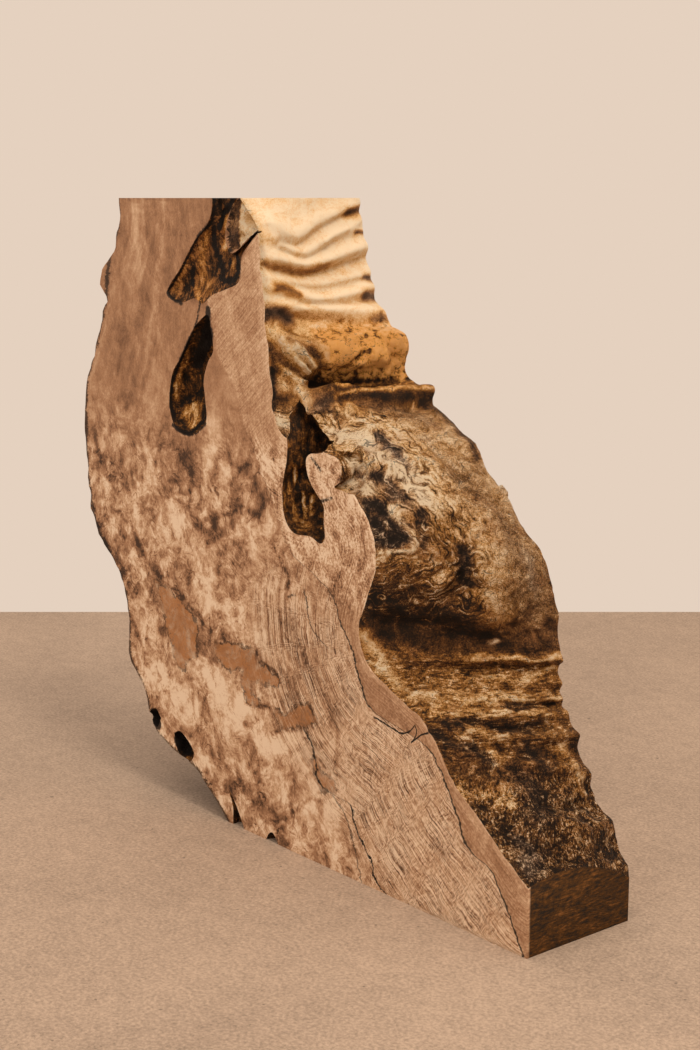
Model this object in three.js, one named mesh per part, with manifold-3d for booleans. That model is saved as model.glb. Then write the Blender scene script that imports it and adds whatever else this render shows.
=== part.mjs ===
// A sawn slab of spalted maple burl that stands on its sawn foot: one piece of wood.
// Lengths are millimetres and +Z is up. The form is drawn from the foot's front corner: x runs along the
// front sawn face (negative to the left), y runs from the front sawn face into the slab, z is the height.
// The finished mesh is then set with the middle of its footprint's box on the origin.
import * as THREE from "three";
import { mergeVertices } from "three/addons/utils/BufferGeometryUtils.js";
import Module from "manifold-3d";

// Driving dimensions
const HEIGHT = 420;
const THICKNESS = 83;
const END_SKEW = 3;
const RIGHT_ROW_STEP = 3.2;
const LEFT_ROW_STEP = 6;
const LAYERS = 12;
const RING_STEPS = 4;
const CUT_LEAD = 4;

// The natural side on the right, from the sawn end's upper edge to the sawn top. Each station holds where
// the wood meets the front sawn face, where it is half way through the slab and where it meets the back,
// as [x, z].
const RIGHT_STATIONS = [
  [[0, 42], [1.5, 44], [3, 27]],
  [[-22, 59], [-10, 56], [-6, 44]],
  [[-45, 76], [-27, 74], [-19, 64]],
  [[-65, 92], [-43, 92], [-33, 86]],
  [[-76, 108], [-54, 107], [-43, 107]],
  [[-86, 118], [-62, 117], [-51, 116]],
  [[-107, 128], [-75, 128], [-55, 127]],
  [[-133, 139], [-90, 140], [-56, 141]],
  [[-144, 158], [-92, 158], [-56, 158]],
  [[-139, 180], [-86, 181], [-59, 181]],
  [[-129, 205], [-85, 207], [-72, 209]],
  [[-134, 230], [-96, 233], [-95, 231]],
  [[-152, 248], [-115, 252], [-114, 249]],
  [[-166, 265], [-135, 270], [-131, 266]],
  [[-214, 273], [-157, 283], [-149, 278]],
  [[-227, 287], [-186, 294], [-168, 290]],
  [[-227, 300], [-206, 303], [-176, 302]],
  [[-230, 312], [-211, 312], [-193, 311]],
  [[-232, 326], [-209, 326], [-197, 326]],
  [[-236, 338], [-220, 338], [-209, 338]],
  [[-235, 352], [-228, 352], [-223, 352]],
  [[-238, 366], [-233, 366], [-230, 366]],
  [[-241, 382], [-236, 382], [-234, 382]],
  [[-243, 400], [-240, 400], [-239, 400]],
  [[-262, 420], [-243, 420], [-243, 420]],
];

// The natural side on the left, from the sawn top down to the foot.
const LEFT_STATIONS = [
  [[-401, 420], [-415, 420], [-405, 420]],
  [[-401, 402], [-416, 400], [-408, 398]],
  [[-414, 376], [-428, 375], [-416, 374]],
  [[-419, 352], [-434, 352], [-424, 352]],
  [[-425, 335], [-442, 334], [-432, 334]],
  [[-434, 315], [-450, 312], [-440, 312]],
  [[-447, 290], [-458, 288], [-448, 288]],
  [[-450, 265], [-464, 262], [-452, 262]],
  [[-451, 238], [-466, 236], [-456, 236]],
  [[-448, 212], [-464, 210], [-455, 210]],
  [[-440, 184], [-456, 184], [-448, 184]],
  [[-420, 163], [-442, 160], [-436, 160]],
  [[-404, 140], [-430, 136], [-426, 136]],
  [[-400, 116], [-422, 112], [-418, 112]],
  [[-399, 92], [-414, 88], [-410, 88]],
  [[-380, 72], [-400, 66], [-398, 66]],
  [[-372, 48], [-386, 46], [-384, 46]],
  [[-348, 36], [-368, 32], [-368, 32]],
  [[-316, 28], [-350, 16], [-352, 16]],
  [[-282, 0], [-318, 0], [-330, 0]],
];

// Ridges (rise above 0) and furrows (below 0) on the right side. A line's points are [y, z]; its relief
// falls away over `above` on its upper side and over `below` on its lower side.
const RIGHT_RELIEF = [
  { name: "ripple 1", rise: 4, above: 7, below: 3.5, line: [[11, 402], [28, 396], [48, 405], [83, 417]] },
  { name: "ripple 2", rise: 4, above: 6, below: 3.5, line: [[11, 394], [32, 386], [59, 398], [83, 405]] },
  { name: "ripple 3", rise: 2.5, above: 3, below: 3, line: [[50, 391], [65, 397], [83, 399]] },
  { name: "ripple 4", rise: 6, above: 6, below: 4, line: [[0, 384], [17, 380], [38, 378], [83, 388]] },
  { name: "ripple 5", rise: 3.5, above: 5, below: 3, line: [[0, 372], [32, 366], [55, 367], [83, 372]] },
  { name: "ripple 6", rise: 4.5, above: 5, below: 3, line: [[4, 365], [34, 356], [57, 357], [83, 362]] },
  { name: "ripple 7", rise: 4, above: 5, below: 3.5, line: [[12, 353], [33, 350], [83, 346]] },
  { name: "brow", rise: 6, above: 8, below: 9, line: [[30, 324], [49, 324], [83, 328]] },
  { name: "crevice", rise: -8, above: 4, below: 3, line: [[22, 305], [40, 305], [57, 306], [74, 308]] },
  { name: "lip", rise: 7, above: 3.5, below: 4, line: [[21, 296], [36, 299], [53, 299], [83, 299]] },
  { name: "upper toe", rise: 4, above: 4, below: 4, line: [[0, 337], [10, 333], [17, 328]] },
  { name: "lower toe", rise: 6, above: 5, below: 5, line: [[6, 329], [14, 321], [16, 308], [9, 293]] },
  { name: "edge furrow", rise: -5, above: 3.5, below: 3.5, line: [[3, 326], [3, 306], [2, 290]] },
  { name: "crown furrow", rise: -3, above: 5, below: 5, line: [[50, 280], [52, 268], [54, 254]] },
  { name: "cheek", rise: 4, above: 10, below: 10, line: [[46, 217], [47, 197], [46, 176]] },
  { name: "cheek crease", rise: -4, above: 5, below: 5, line: [[32, 228], [35, 210], [36, 188]] },
  { name: "hollow under the cheek", rise: -5, above: 12, below: 8, line: [[12, 168], [30, 164], [52, 160]] },
  { name: "fan 1", rise: 4, above: 4, below: 3.5, line: [[22, 146], [54, 148], [83, 147]] },
  { name: "fan 2", rise: 3, above: 3.5, below: 3.5, line: [[24, 137], [55, 135], [83, 133]] },
  { name: "fan 3", rise: 4, above: 3.5, below: 3, line: [[10, 128], [35, 126], [83, 123]] },
  { name: "fan 4", rise: 4, above: 3.5, below: 3.5, line: [[13, 124], [34, 118], [83, 115]] },
  { name: "fan 5", rise: 5, above: 4, below: 3.5, line: [[11, 117], [28, 109], [83, 103]] },
  { name: "fan 6", rise: 5, above: 5, below: 4, line: [[8, 106], [38, 93], [83, 82]] },
  { name: "heel lump", rise: 4, above: 7, below: 7, line: [[30, 68], [56, 60], [83, 56]] },
];

// Ridges on the left side, which follow the grain and are mostly hidden from the front.
const LEFT_RELIEF = [
  { name: "long ridge", rise: 5, above: 9, below: 9, line: [[22, 400], [30, 300], [24, 200], [30, 110]] },
  { name: "long furrow", rise: -5, above: 7, below: 7, line: [[46, 380], [40, 290], [48, 190], [44, 90]] },
  { name: "back ridge", rise: 5, above: 8, below: 8, line: [[62, 410], [68, 310], [60, 220], [66, 120]] },
  { name: "shoulder knob", rise: 8, above: 14, below: 14, line: [[40, 262], [52, 256]] },
  { name: "belly knob", rise: 7, above: 12, below: 12, line: [[30, 150], [44, 144]] },
  { name: "bark chip", rise: 14, above: 7, below: 7, line: [[0, 371], [3, 359]] },
  { name: "heel knob", rise: 6, above: 12, below: 12, line: [[50, 60], [64, 56]] },
];

// Burl lumps: the size and the height of each layer of noise, on the right and the left side.
const RIGHT_LUMPS = [{ size: 27, rise: 3.2 }, { size: 11, rise: 1.6 }];
const LEFT_LUMPS = [{ size: 34, rise: 5 }, { size: 13, rise: 2.2 }];
const RIPPLE_FLOOR = 332;
const RIPPLE_LUMP_SHARE = 0.25;
const EDGE_SHARE = 0.3;
const EDGE_REACH = 12;
const ROW_FADE = 14;

// Cavities that open on the front sawn face, as outlines of [x, z] with the depth they reach.
const CAVITIES = [
  {
    name: "hollow beside the tongue",
    depth: 36,
    outline: [
      [-215, 298], [-218, 287], [-214, 274], [-214, 260], [-218, 245], [-219, 236], [-217, 222], [-208, 213],
      [-191, 213], [-182, 210], [-177, 214], [-178, 224], [-178, 234], [-184, 240], [-190, 246], [-194, 253],
      [-195, 261], [-191, 265], [-184, 266], [-178, 268], [-184, 274], [-193, 279], [-202, 283], [-209, 290],
    ],
  },
  {
    name: "recess right of the tongue",
    depth: 10,
    outline: [
      [-172, 270], [-164, 265], [-161, 258], [-163, 251], [-168, 247], [-160, 246], [-152, 245], [-138, 248],
      [-132, 266], [-144, 280],
    ],
  },
  {
    name: "upper bark pocket",
    depth: 9,
    outline: [
      [-289, 423], [-291, 410], [-298, 401], [-308, 394], [-317, 385], [-328, 373], [-338, 364], [-342, 358],
      [-335, 353], [-324, 352], [-311, 355], [-302, 352], [-291, 358], [-277, 362], [-263, 367], [-260, 377],
      [-257, 386], [-240, 400], [-249, 396], [-264, 387], [-271, 386], [-276, 395], [-273, 408], [-265, 423],
    ],
  },
  {
    name: "lower bark pocket",
    depth: 20,
    outline: [
      [-311, 337], [-320, 326], [-329, 314], [-338, 304], [-342, 290], [-342, 278], [-336, 267], [-323, 263],
      [-311, 266], [-300, 275], [-301, 290], [-302, 302], [-297, 314], [-291, 322], [-293, 335], [-297, 345],
    ],
  },
  { name: "outer edge hole", depth: 16, outline: [[-361, 55], [-367, 47], [-377, 54], [-368, 61]] },
  {
    name: "inner edge hole",
    depth: 20,
    outline: [[-345, 48], [-337, 51], [-326, 45], [-321, 38], [-328, 31], [-340, 35]],
  },
  { name: "foot crack", depth: 10, outline: [[-281, 24], [-276, 12], [-275, -3], [-263, -3], [-272, 14]] },
  { name: "foot notch", depth: 8, outline: [[-241, -3], [-236, 5], [-231, 6], [-226, -3]] },
];
const OUTLINE_STEPS = 2;

// Value noise from a hash of whole-number lattice points, between -1 and 1, the same on every run
function latticeValue(i, j, k) {
  let h = Math.imul(i, 374761393) ^ Math.imul(j, 668265263) ^ Math.imul(k, 1442695041);
  h = Math.imul(h ^ (h >>> 13), 1274126177);
  return (((h ^ (h >>> 16)) >>> 0) / 4294967295) * 2 - 1;
}

function noise(x, y, z) {
  const [i, j, k] = [x, y, z].map(Math.floor);
  const [a, b, c] = [x - i, y - j, z - k].map((t) => t * t * (3 - 2 * t));
  const edge = (dj, dk) =>
    THREE.MathUtils.lerp(latticeValue(i, j + dj, k + dk), latticeValue(i + 1, j + dj, k + dk), a);
  return THREE.MathUtils.lerp(
    THREE.MathUtils.lerp(edge(0, 0), edge(1, 0), b),
    THREE.MathUtils.lerp(edge(0, 1), edge(1, 1), b),
    c,
  );
}

function lumps(layers, point) {
  let rise = 0;
  for (const { size, rise: height } of layers) {
    rise += height * noise(point.x / size, point.y / size, point.z / size);
  }
  return rise;
}

// Signed nearest offset from a relief line in the (y, z) chart of a natural side
function reliefAt(relief, y, z) {
  const here = new THREE.Vector3(y, z, 0);
  const nearest = new THREE.Vector3();
  const found = new THREE.Vector3();
  let total = 0;
  for (const { segments, rise, above, below } of relief) {
    let best = Infinity;
    for (const segment of segments) {
      segment.closestPointToPoint(here, true, found);
      const distance = found.distanceToSquared(here);
      if (distance < best) {
        best = distance;
        nearest.copy(found);
      }
    }
    const reach = z > nearest.y ? above : below;
    total += rise * Math.exp(-best / (reach * reach));
  }
  return total;
}

function prepareRelief(relief) {
  return relief.map(({ line, ...stroke }) => {
    const curve = new THREE.SplineCurve(line.map(([y, z]) => new THREE.Vector2(y, z)));
    const points = curve.getPoints(line.length * 4).map((p) => new THREE.Vector3(p.x, p.y, 0));
    const segments = points.slice(1).map((p, i) => new THREE.Line3(points[i], p));
    return { ...stroke, segments };
  });
}

// Rows of points on a natural side: row after row up or down the slab, each from the front to the back
function baseRows(stations, rowStep) {
  const curves = [0, 1, 2].map(
    (k) => new THREE.SplineCurve(stations.map((station) => new THREE.Vector2(...station[k]))),
  );
  const spans = stations.length - 1;
  const steps = [];
  for (let i = 0; i < spans; i++) {
    const lengths = curves.map((curve) => curve.points[i].distanceTo(curve.points[i + 1]));
    const count = Math.ceil(Math.max(...lengths) / rowStep);
    for (let k = 0; k < count; k++) {
      steps.push((i + k / count) / spans);
    }
  }
  steps.push(1);
  return steps.map((t) => {
    const [front, middle, back] = curves.map((curve) => curve.getPoint(t));
    const row = [];
    for (let j = 0; j <= LAYERS; j++) {
      const v = j / LAYERS;
      const [wf, wm, wb] = [2 * (v - 0.5) * (v - 1), -4 * v * (v - 1), 2 * v * (v - 0.5)];
      const x = wf * front.x + wm * middle.x + wb * back.x;
      const z = wf * front.y + wm * middle.y + wb * back.y;
      row.push(new THREE.Vector3(x, v * THICKNESS, z));
    }
    return row;
  });
}

// The rows raised by their relief and lumps, across the slab's edge and never through a sawn plane
function raisedRows({ stations, relief, lumpLayers, lumpShare, rowStep, startShare }) {
  const rows = baseRows(stations, rowStep);
  const strokes = prepareRelief(relief);
  const last = rows.length - 1;
  return rows.map((row, i) =>
    row.map((point, j) => {
      const before = rows[Math.max(i - 1, 0)][j];
      const after = rows[Math.min(i + 1, last)][j];
      const along = new THREE.Vector2(after.x - before.x, after.z - before.z).normalize();
      const fromEnd = THREE.MathUtils.smoothstep(Math.min(i, last - i) * rowStep, 0, ROW_FADE);
      const fromStart = THREE.MathUtils.smoothstep(i * rowStep, 0, ROW_FADE);
      const fromFace = THREE.MathUtils.smoothstep(point.y, 0, EDGE_REACH);
      const share = THREE.MathUtils.lerp(EDGE_SHARE, 1, fromFace);
      const size = reliefAt(strokes, point.y, point.z) + lumpShare(point.z) * lumps(lumpLayers, point);
      const rise = size * share * THREE.MathUtils.lerp(startShare, 1, fromStart);
      return new THREE.Vector3(point.x + along.y * rise, point.y, point.z - along.x * rise * fromEnd);
    }),
  );
}

// A closed mesh through the loops of all layers, with flat faces on the first and the last loop
function loftLoops(loops) {
  const count = loops[0].length;
  const positions = loops.flat().flatMap((p) => [p.x, p.y, p.z]);
  const index = [];
  for (let j = 0; j + 1 < loops.length; j++) {
    for (let i = 0; i < count; i++) {
      const next = (i + 1) % count;
      const [a, b] = [j * count + i, (j + 1) * count + i];
      const [c, d] = [(j + 1) * count + next, j * count + next];
      index.push(a, b, c, a, c, d);
    }
  }
  const top = (loops.length - 1) * count;
  const flat = (loop) => loop.map((p) => new THREE.Vector2(p.x, p.z));
  for (const [a, b, c] of THREE.ShapeUtils.triangulateShape(flat(loops[0]), [])) {
    index.push(a, b, c);
  }
  for (const [a, b, c] of THREE.ShapeUtils.triangulateShape(flat(loops.at(-1)), [])) {
    index.push(top + a, top + c, top + b);
  }
  const geometry = new THREE.BufferGeometry();
  geometry.setAttribute("position", new THREE.Float32BufferAttribute(positions, 3));
  geometry.setIndex(index);
  return geometry;
}

// The slab before its cavities: sawn front, back, top, foot and end, with the two natural sides
function slabGeometry() {
  const towardsRipples = (z) => THREE.MathUtils.smoothstep(z, RIPPLE_FLOOR - 12, RIPPLE_FLOOR + 12);
  const right = raisedRows({
    stations: RIGHT_STATIONS,
    relief: RIGHT_RELIEF,
    lumpLayers: RIGHT_LUMPS,
    lumpShare: (z) => THREE.MathUtils.lerp(1, RIPPLE_LUMP_SHARE, towardsRipples(z)),
    rowStep: RIGHT_ROW_STEP,
    startShare: 0,
  });
  const left = raisedRows({
    stations: LEFT_STATIONS,
    relief: LEFT_RELIEF,
    lumpLayers: LEFT_LUMPS,
    lumpShare: () => 1,
    rowStep: LEFT_ROW_STEP,
    startShare: 1,
  });
  const loops = [];
  for (let j = 0; j <= LAYERS; j++) {
    const v = j / LAYERS;
    const foot = new THREE.Vector3(END_SKEW * v, v * THICKNESS, 0);
    loops.push([foot, ...right.map((row) => row[j]), ...left.map((row) => row[j])]);
  }
  return loftLoops(loops);
}

// A rounded bowl under an outline on the front sawn face, with a short lead in front of the face
function bowlGeometry({ outline, depth }) {
  const closed = [...outline, outline[0]].map(([x, z]) => new THREE.Vector2(x, z));
  const rim = new THREE.SplineCurve(closed).getPoints(outline.length * OUTLINE_STEPS).slice(0, -1);
  if (THREE.ShapeUtils.area(rim) < 0) {
    rim.reverse();
  }
  const middle = rim.reduce((sum, p) => sum.add(p), new THREE.Vector2()).divideScalar(rim.length);
  const ringAt = (share, y) =>
    rim.map((p) => {
      const q = middle.clone().lerp(p, share);
      return new THREE.Vector3(q.x, y, q.y);
    });
  const loops = [ringAt(1, -CUT_LEAD)];
  for (let k = 0; k <= RING_STEPS; k++) {
    const turn = (k / (RING_STEPS + 0.6)) * (Math.PI / 2);
    loops.push(ringAt(Math.cos(turn), depth * Math.sin(turn)));
  }
  return loftLoops(loops);
}

const wasm = await Module();
wasm.setup();

function solidOf(geometry) {
  const merged = mergeVertices(geometry, 1e-4);
  const vertProperties = new Float32Array(merged.getAttribute("position").array);
  const triVerts = new Uint32Array(merged.index.array);
  return new wasm.Manifold(new wasm.Mesh({ numProp: 3, vertProperties, triVerts }));
}

function geometryOf(solid) {
  const { vertProperties, triVerts } = solid.getMesh();
  const geometry = new THREE.BufferGeometry();
  geometry.setAttribute("position", new THREE.BufferAttribute(vertProperties, 3));
  geometry.setIndex(new THREE.BufferAttribute(triVerts, 1));
  geometry.computeVertexNormals();
  return geometry;
}

// The burl: the slab with its cavities cut from the front sawn face
function makeBurl() {
  let solid = solidOf(slabGeometry());
  for (const cavity of CAVITIES) {
    solid = solid.subtract(solidOf(bowlGeometry(cavity)));
  }
  const wood = new THREE.MeshStandardMaterial({ color: 0xa9855f, roughness: 0.72, metalness: 0 });
  const burl = new THREE.Mesh(geometryOf(solid), wood);
  burl.name = "burl";
  burl.geometry.computeBoundingBox();
  const { min, max } = burl.geometry.boundingBox;
  burl.position.set(-(min.x + max.x) / 2, -(min.y + max.y) / 2, -min.z);
  return burl;
}

const part = new THREE.Group();
part.add(makeBurl());

export default part;
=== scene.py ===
"""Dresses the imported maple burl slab: its wood in fine relief, its figure and stains, and a plain studio.

The form is drawn in millimetres from the foot's front corner, as in the solid: x runs along the front sawn
face (negative to the left), y runs from that face into the slab and z is the height.
"""
import math

import bpy
import numpy as np
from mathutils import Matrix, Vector, geometry, kdtree


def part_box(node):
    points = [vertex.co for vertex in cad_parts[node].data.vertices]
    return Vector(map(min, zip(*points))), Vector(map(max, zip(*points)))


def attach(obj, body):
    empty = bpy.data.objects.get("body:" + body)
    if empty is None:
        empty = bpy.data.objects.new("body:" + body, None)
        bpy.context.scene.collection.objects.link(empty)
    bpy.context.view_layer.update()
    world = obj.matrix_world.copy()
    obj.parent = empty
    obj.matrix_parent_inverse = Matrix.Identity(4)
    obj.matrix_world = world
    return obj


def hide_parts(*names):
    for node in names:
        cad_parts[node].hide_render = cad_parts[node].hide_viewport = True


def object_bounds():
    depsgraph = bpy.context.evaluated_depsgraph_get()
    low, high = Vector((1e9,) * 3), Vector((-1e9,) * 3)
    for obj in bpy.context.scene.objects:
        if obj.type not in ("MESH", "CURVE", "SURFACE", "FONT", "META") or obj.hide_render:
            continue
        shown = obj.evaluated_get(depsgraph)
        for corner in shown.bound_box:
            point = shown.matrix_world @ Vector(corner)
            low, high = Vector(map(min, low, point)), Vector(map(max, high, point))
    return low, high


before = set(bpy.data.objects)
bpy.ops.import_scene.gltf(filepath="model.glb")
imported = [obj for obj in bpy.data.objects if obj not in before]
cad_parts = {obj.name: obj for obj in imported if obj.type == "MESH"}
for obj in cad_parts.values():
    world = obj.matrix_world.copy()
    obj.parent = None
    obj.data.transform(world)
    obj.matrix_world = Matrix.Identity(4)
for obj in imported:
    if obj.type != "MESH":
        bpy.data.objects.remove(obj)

bl_info = {
    "name": "Maple burl slab",
    "version": (1, 0, 0),
    "blender": (4, 5, 0),
    "location": "3D View > Sidebar > Burl",
    "description": "Makes the wood of a spalted maple burl slab and a plain studio around it",
    "category": "Object",
}

# The frame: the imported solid's box and the foot's front corner in it
MM = 0.001
END_SKEW = 3.0
CAD_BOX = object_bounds()
BURL_LOW, BURL_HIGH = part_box("burl")
THICKNESS = (BURL_HIGH.y - BURL_LOW.y) / MM
HEIGHT = (BURL_HIGH.z - BURL_LOW.z) / MM
FOOT = Vector((BURL_HIGH.x - END_SKEW * MM, BURL_LOW.y, BURL_LOW.z))

# The natural side on the right, from the sawn end's upper edge to the sawn top: where the wood meets the
# front sawn face, where it is half way through the slab and where it meets the back, as (x, z)
RIGHT_STATIONS = [
    ((0, 42), (1.5, 44), (3, 27)),
    ((-22, 59), (-10, 56), (-6, 44)),
    ((-45, 76), (-27, 74), (-19, 64)),
    ((-65, 92), (-43, 92), (-33, 86)),
    ((-76, 108), (-54, 107), (-43, 107)),
    ((-86, 118), (-62, 117), (-51, 116)),
    ((-107, 128), (-75, 128), (-55, 127)),
    ((-133, 139), (-90, 140), (-56, 141)),
    ((-144, 158), (-92, 158), (-56, 158)),
    ((-139, 180), (-86, 181), (-59, 181)),
    ((-129, 205), (-85, 207), (-72, 209)),
    ((-134, 230), (-96, 233), (-95, 231)),
    ((-152, 248), (-115, 252), (-114, 249)),
    ((-166, 265), (-135, 270), (-131, 266)),
    ((-214, 273), (-157, 283), (-149, 278)),
    ((-227, 287), (-186, 294), (-168, 290)),
    ((-227, 300), (-206, 303), (-176, 302)),
    ((-230, 312), (-211, 312), (-193, 311)),
    ((-232, 326), (-209, 326), (-197, 326)),
    ((-236, 338), (-220, 338), (-209, 338)),
    ((-235, 352), (-228, 352), (-223, 352)),
    ((-238, 366), (-233, 366), (-230, 366)),
    ((-241, 382), (-236, 382), (-234, 382)),
    ((-243, 400), (-240, 400), (-239, 400)),
    ((-262, 420), (-243, 420), (-243, 420)),
]

# The natural side on the left, from the sawn top down to the foot
LEFT_STATIONS = [
    ((-401, 420), (-415, 420), (-405, 420)),
    ((-401, 402), (-416, 400), (-408, 398)),
    ((-414, 376), (-428, 375), (-416, 374)),
    ((-419, 352), (-434, 352), (-424, 352)),
    ((-425, 335), (-442, 334), (-432, 334)),
    ((-434, 315), (-450, 312), (-440, 312)),
    ((-447, 290), (-458, 288), (-448, 288)),
    ((-450, 265), (-464, 262), (-452, 262)),
    ((-451, 238), (-466, 236), (-456, 236)),
    ((-448, 212), (-464, 210), (-455, 210)),
    ((-440, 184), (-456, 184), (-448, 184)),
    ((-420, 163), (-442, 160), (-436, 160)),
    ((-404, 140), (-430, 136), (-426, 136)),
    ((-400, 116), (-422, 112), (-418, 112)),
    ((-399, 92), (-414, 88), (-410, 88)),
    ((-380, 72), (-400, 66), (-398, 66)),
    ((-372, 48), (-386, 46), (-384, 46)),
    ((-348, 36), (-368, 32), (-368, 32)),
    ((-316, 28), (-350, 16), (-352, 16)),
    ((-282, 0), (-318, 0), (-330, 0)),
]

# Ridges (rise above 0) and furrows (below 0) on the right side: rise, reach above the line, reach below it
# and the line's points as (y, z)
RIGHT_RELIEF = {
    "ripple 1": (4, 7, 3.5, [(11, 402), (28, 396), (48, 405), (83, 417)]),
    "ripple 2": (4, 6, 3.5, [(11, 394), (32, 386), (59, 398), (83, 405)]),
    "ripple 3": (2.5, 3, 3, [(50, 391), (65, 397), (83, 399)]),
    "ripple 4": (6, 6, 4, [(0, 384), (17, 380), (38, 378), (83, 388)]),
    "ripple 5": (3.5, 5, 3, [(0, 372), (32, 366), (55, 367), (83, 372)]),
    "ripple 6": (4.5, 5, 3, [(4, 365), (34, 356), (57, 357), (83, 362)]),
    "ripple 7": (4, 5, 3.5, [(12, 353), (33, 350), (83, 346)]),
    "brow": (6, 8, 9, [(30, 324), (49, 324), (83, 328)]),
    "crevice": (-8, 4, 3, [(22, 305), (40, 305), (57, 306), (74, 308)]),
    "lip": (7, 3.5, 4, [(21, 296), (36, 299), (53, 299), (83, 299)]),
    "upper toe": (4, 4, 4, [(0, 337), (10, 333), (17, 328)]),
    "lower toe": (6, 5, 5, [(6, 329), (14, 321), (16, 308), (9, 293)]),
    "edge furrow": (-5, 3.5, 3.5, [(3, 326), (3, 306), (2, 290)]),
    "crown furrow": (-3, 5, 5, [(50, 280), (52, 268), (54, 254)]),
    "cheek": (4, 10, 10, [(46, 217), (47, 197), (46, 176)]),
    "cheek crease": (-4, 5, 5, [(32, 228), (35, 210), (36, 188)]),
    "hollow under the cheek": (-5, 12, 8, [(12, 168), (30, 164), (52, 160)]),
    "fan 1": (4, 4, 3.5, [(22, 146), (54, 148), (83, 147)]),
    "fan 2": (3, 3.5, 3.5, [(24, 137), (55, 135), (83, 133)]),
    "fan 3": (4, 3.5, 3, [(10, 128), (35, 126), (83, 123)]),
    "fan 4": (4, 3.5, 3.5, [(13, 124), (34, 118), (83, 115)]),
    "fan 5": (5, 4, 3.5, [(11, 117), (28, 109), (83, 103)]),
    "fan 6": (5, 5, 4, [(8, 106), (38, 93), (83, 82)]),
    "heel lump": (4, 7, 7, [(30, 68), (56, 60), (83, 56)]),
}

# Lines on the right side that carry both relief and tone, as (y, z)
CRUST_EDGE = [(16, 240), (11, 236), (13, 226), (14, 218), (10, 214), (1, 213)]
BLOCK_LEDGE = [(58, 310), (65, 310.5), (72, 310)]
TOE_FOLD_1 = [(1, 339), (8, 330), (15, 324), (23, 316)]
TOE_FOLD_2 = [(4, 331), (10, 322), (19, 312)]
TOE_FOLD_3 = [(2, 322), (7, 314), (17, 303)]
TOE_HOLLOW = [(9, 334), (16, 329), (24, 322)]
TOE_GROOVE = [(4, 323), (9, 317), (17, 308)]
FAN_GROOVE = [(39, 125), (54, 123), (80, 121)]

# Finer lines that only the dressed surface carries, in the same order
RIGHT_FINE_RELIEF = {
    "splinter": (8, 1.2, 1.8, [(76, 244), (80, 240)]),
    "crack in the swirl": (-2.5, 1.4, 1.4, [(18, 198), (25, 202), (33, 207)]),
    "swirl ridge": (2.4, 2.2, 2.2, [(22, 229), (31, 220), (33, 207), (26, 196)]),
    "swirl groove": (-1.8, 1.4, 1.4, [(20, 222), (27, 216), (28, 207), (22, 199)]),
    "crust edge": (2, 1.4, 1.4, CRUST_EDGE),
    "scoop in the crust": (-4, 5, 5, [(5, 238), (7, 228), (5, 219)]),
    "under ripple 1": (-2.4, 2, 3, [(14, 393), (22, 391), (31, 391), (50, 402), (71, 410), (83, 411)]),
    "under ripple 2": (-2.2, 1.6, 2.4, [(16, 388), (24, 384), (33, 382), (45, 386), (56, 392)]),
    "under ripple 4": (-3, 3, 4, [(2, 377), (25, 373), (36, 373), (49, 375), (64, 379), (83, 382)]),
    "under ripple 6": (-2, 1.6, 2.2, [(24, 354), (41, 352.5), (57, 353), (83, 355)]),
    "under ripple 7": (-2.2, 2, 2, [(22, 346), (35, 344), (49, 343), (62, 341), (83, 338)]),
    "block belly": (3.5, 5, 4, [(34, 315), (50, 314), (80, 316)]),
    "block knob": (4, 3.5, 3.5, [(59, 322), (65, 320)]),
    "block lump 1": (2.8, 3, 3, [(38, 327), (40, 322)]),
    "block lump 2": (2.6, 3.5, 3.5, [(44, 332), (49, 331)]),
    "block lump 3": (2.6, 3, 3, [(70, 332), (75, 330)]),
    "block lump 4": (2.4, 2.6, 2.6, [(51, 318), (54, 316)]),
    "block dent 1": (-2.5, 3, 3, [(52, 314), (55, 312)]),
    "block dent 2": (-2.6, 2.2, 2.2, [(46, 326), (52, 328), (58, 328)]),
    "block dent 3": (-2.4, 2, 2, [(35, 316), (42, 313)]),
    "hollow round the knob": (-3, 2.5, 2.5, [(70, 327), (74, 320), (73, 315)]),
    "block ledge": (3, 2, 2, BLOCK_LEDGE),
    "block crack": (-3, 1.5, 1.5, [(56, 325.5), (50, 321.5), (45, 318), (40, 311.5)]),
    "under the ledge": (-3.5, 2, 2, [(48, 304.5), (58, 304.5), (70, 305.5)]),
    "under the lip": (-4, 1.6, 2.5, [(29, 295), (44, 295), (59, 293.5), (83, 291)]),
    "toe fold 1": (3, 1.7, 1.7, TOE_FOLD_1),
    "toe fold 2": (3, 1.6, 1.6, TOE_FOLD_2),
    "toe fold 3": (3, 1.8, 1.8, TOE_FOLD_3),
    "toe hollow": (-2.6, 1.6, 1.6, TOE_HOLLOW),
    "toe groove 1": (-2.2, 1.4, 1.4, [(6, 331), (12, 323), (20, 316)]),
    "toe groove 2": (-2.6, 1.6, 1.6, TOE_GROOVE),
    "toe tip": (2.5, 3, 3, [(12, 301), (13, 296), (8, 290)]),
    "fan groove 1": (-3.5, 2, 2, [(9, 118), (26, 117), (35, 113.5), (60, 111)]),
    "fan groove 2": (-4.5, 2.6, 2.6, [(0, 114), (9, 108), (17, 102.5), (25, 97), (36, 91)]),
    "fan groove 3": (-2.5, 1.6, 1.6, FAN_GROOVE),
    "fan groove 4": (-2, 1.8, 1.8, [(30, 142), (58, 143), (83, 144)]),
    "heel groove": (-2.5, 2.2, 2.2, [(12, 84), (30, 76), (56, 71), (82, 68)]),
    "heel knob": (3, 4, 4, [(49, 60.5), (58, 58)]),
    "right lump 1": (3.5, 5, 5, [(70, 95), (71, 90)]),
    "right lump 2": (3, 4.5, 4.5, [(72, 79), (73, 75)]),
}

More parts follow.
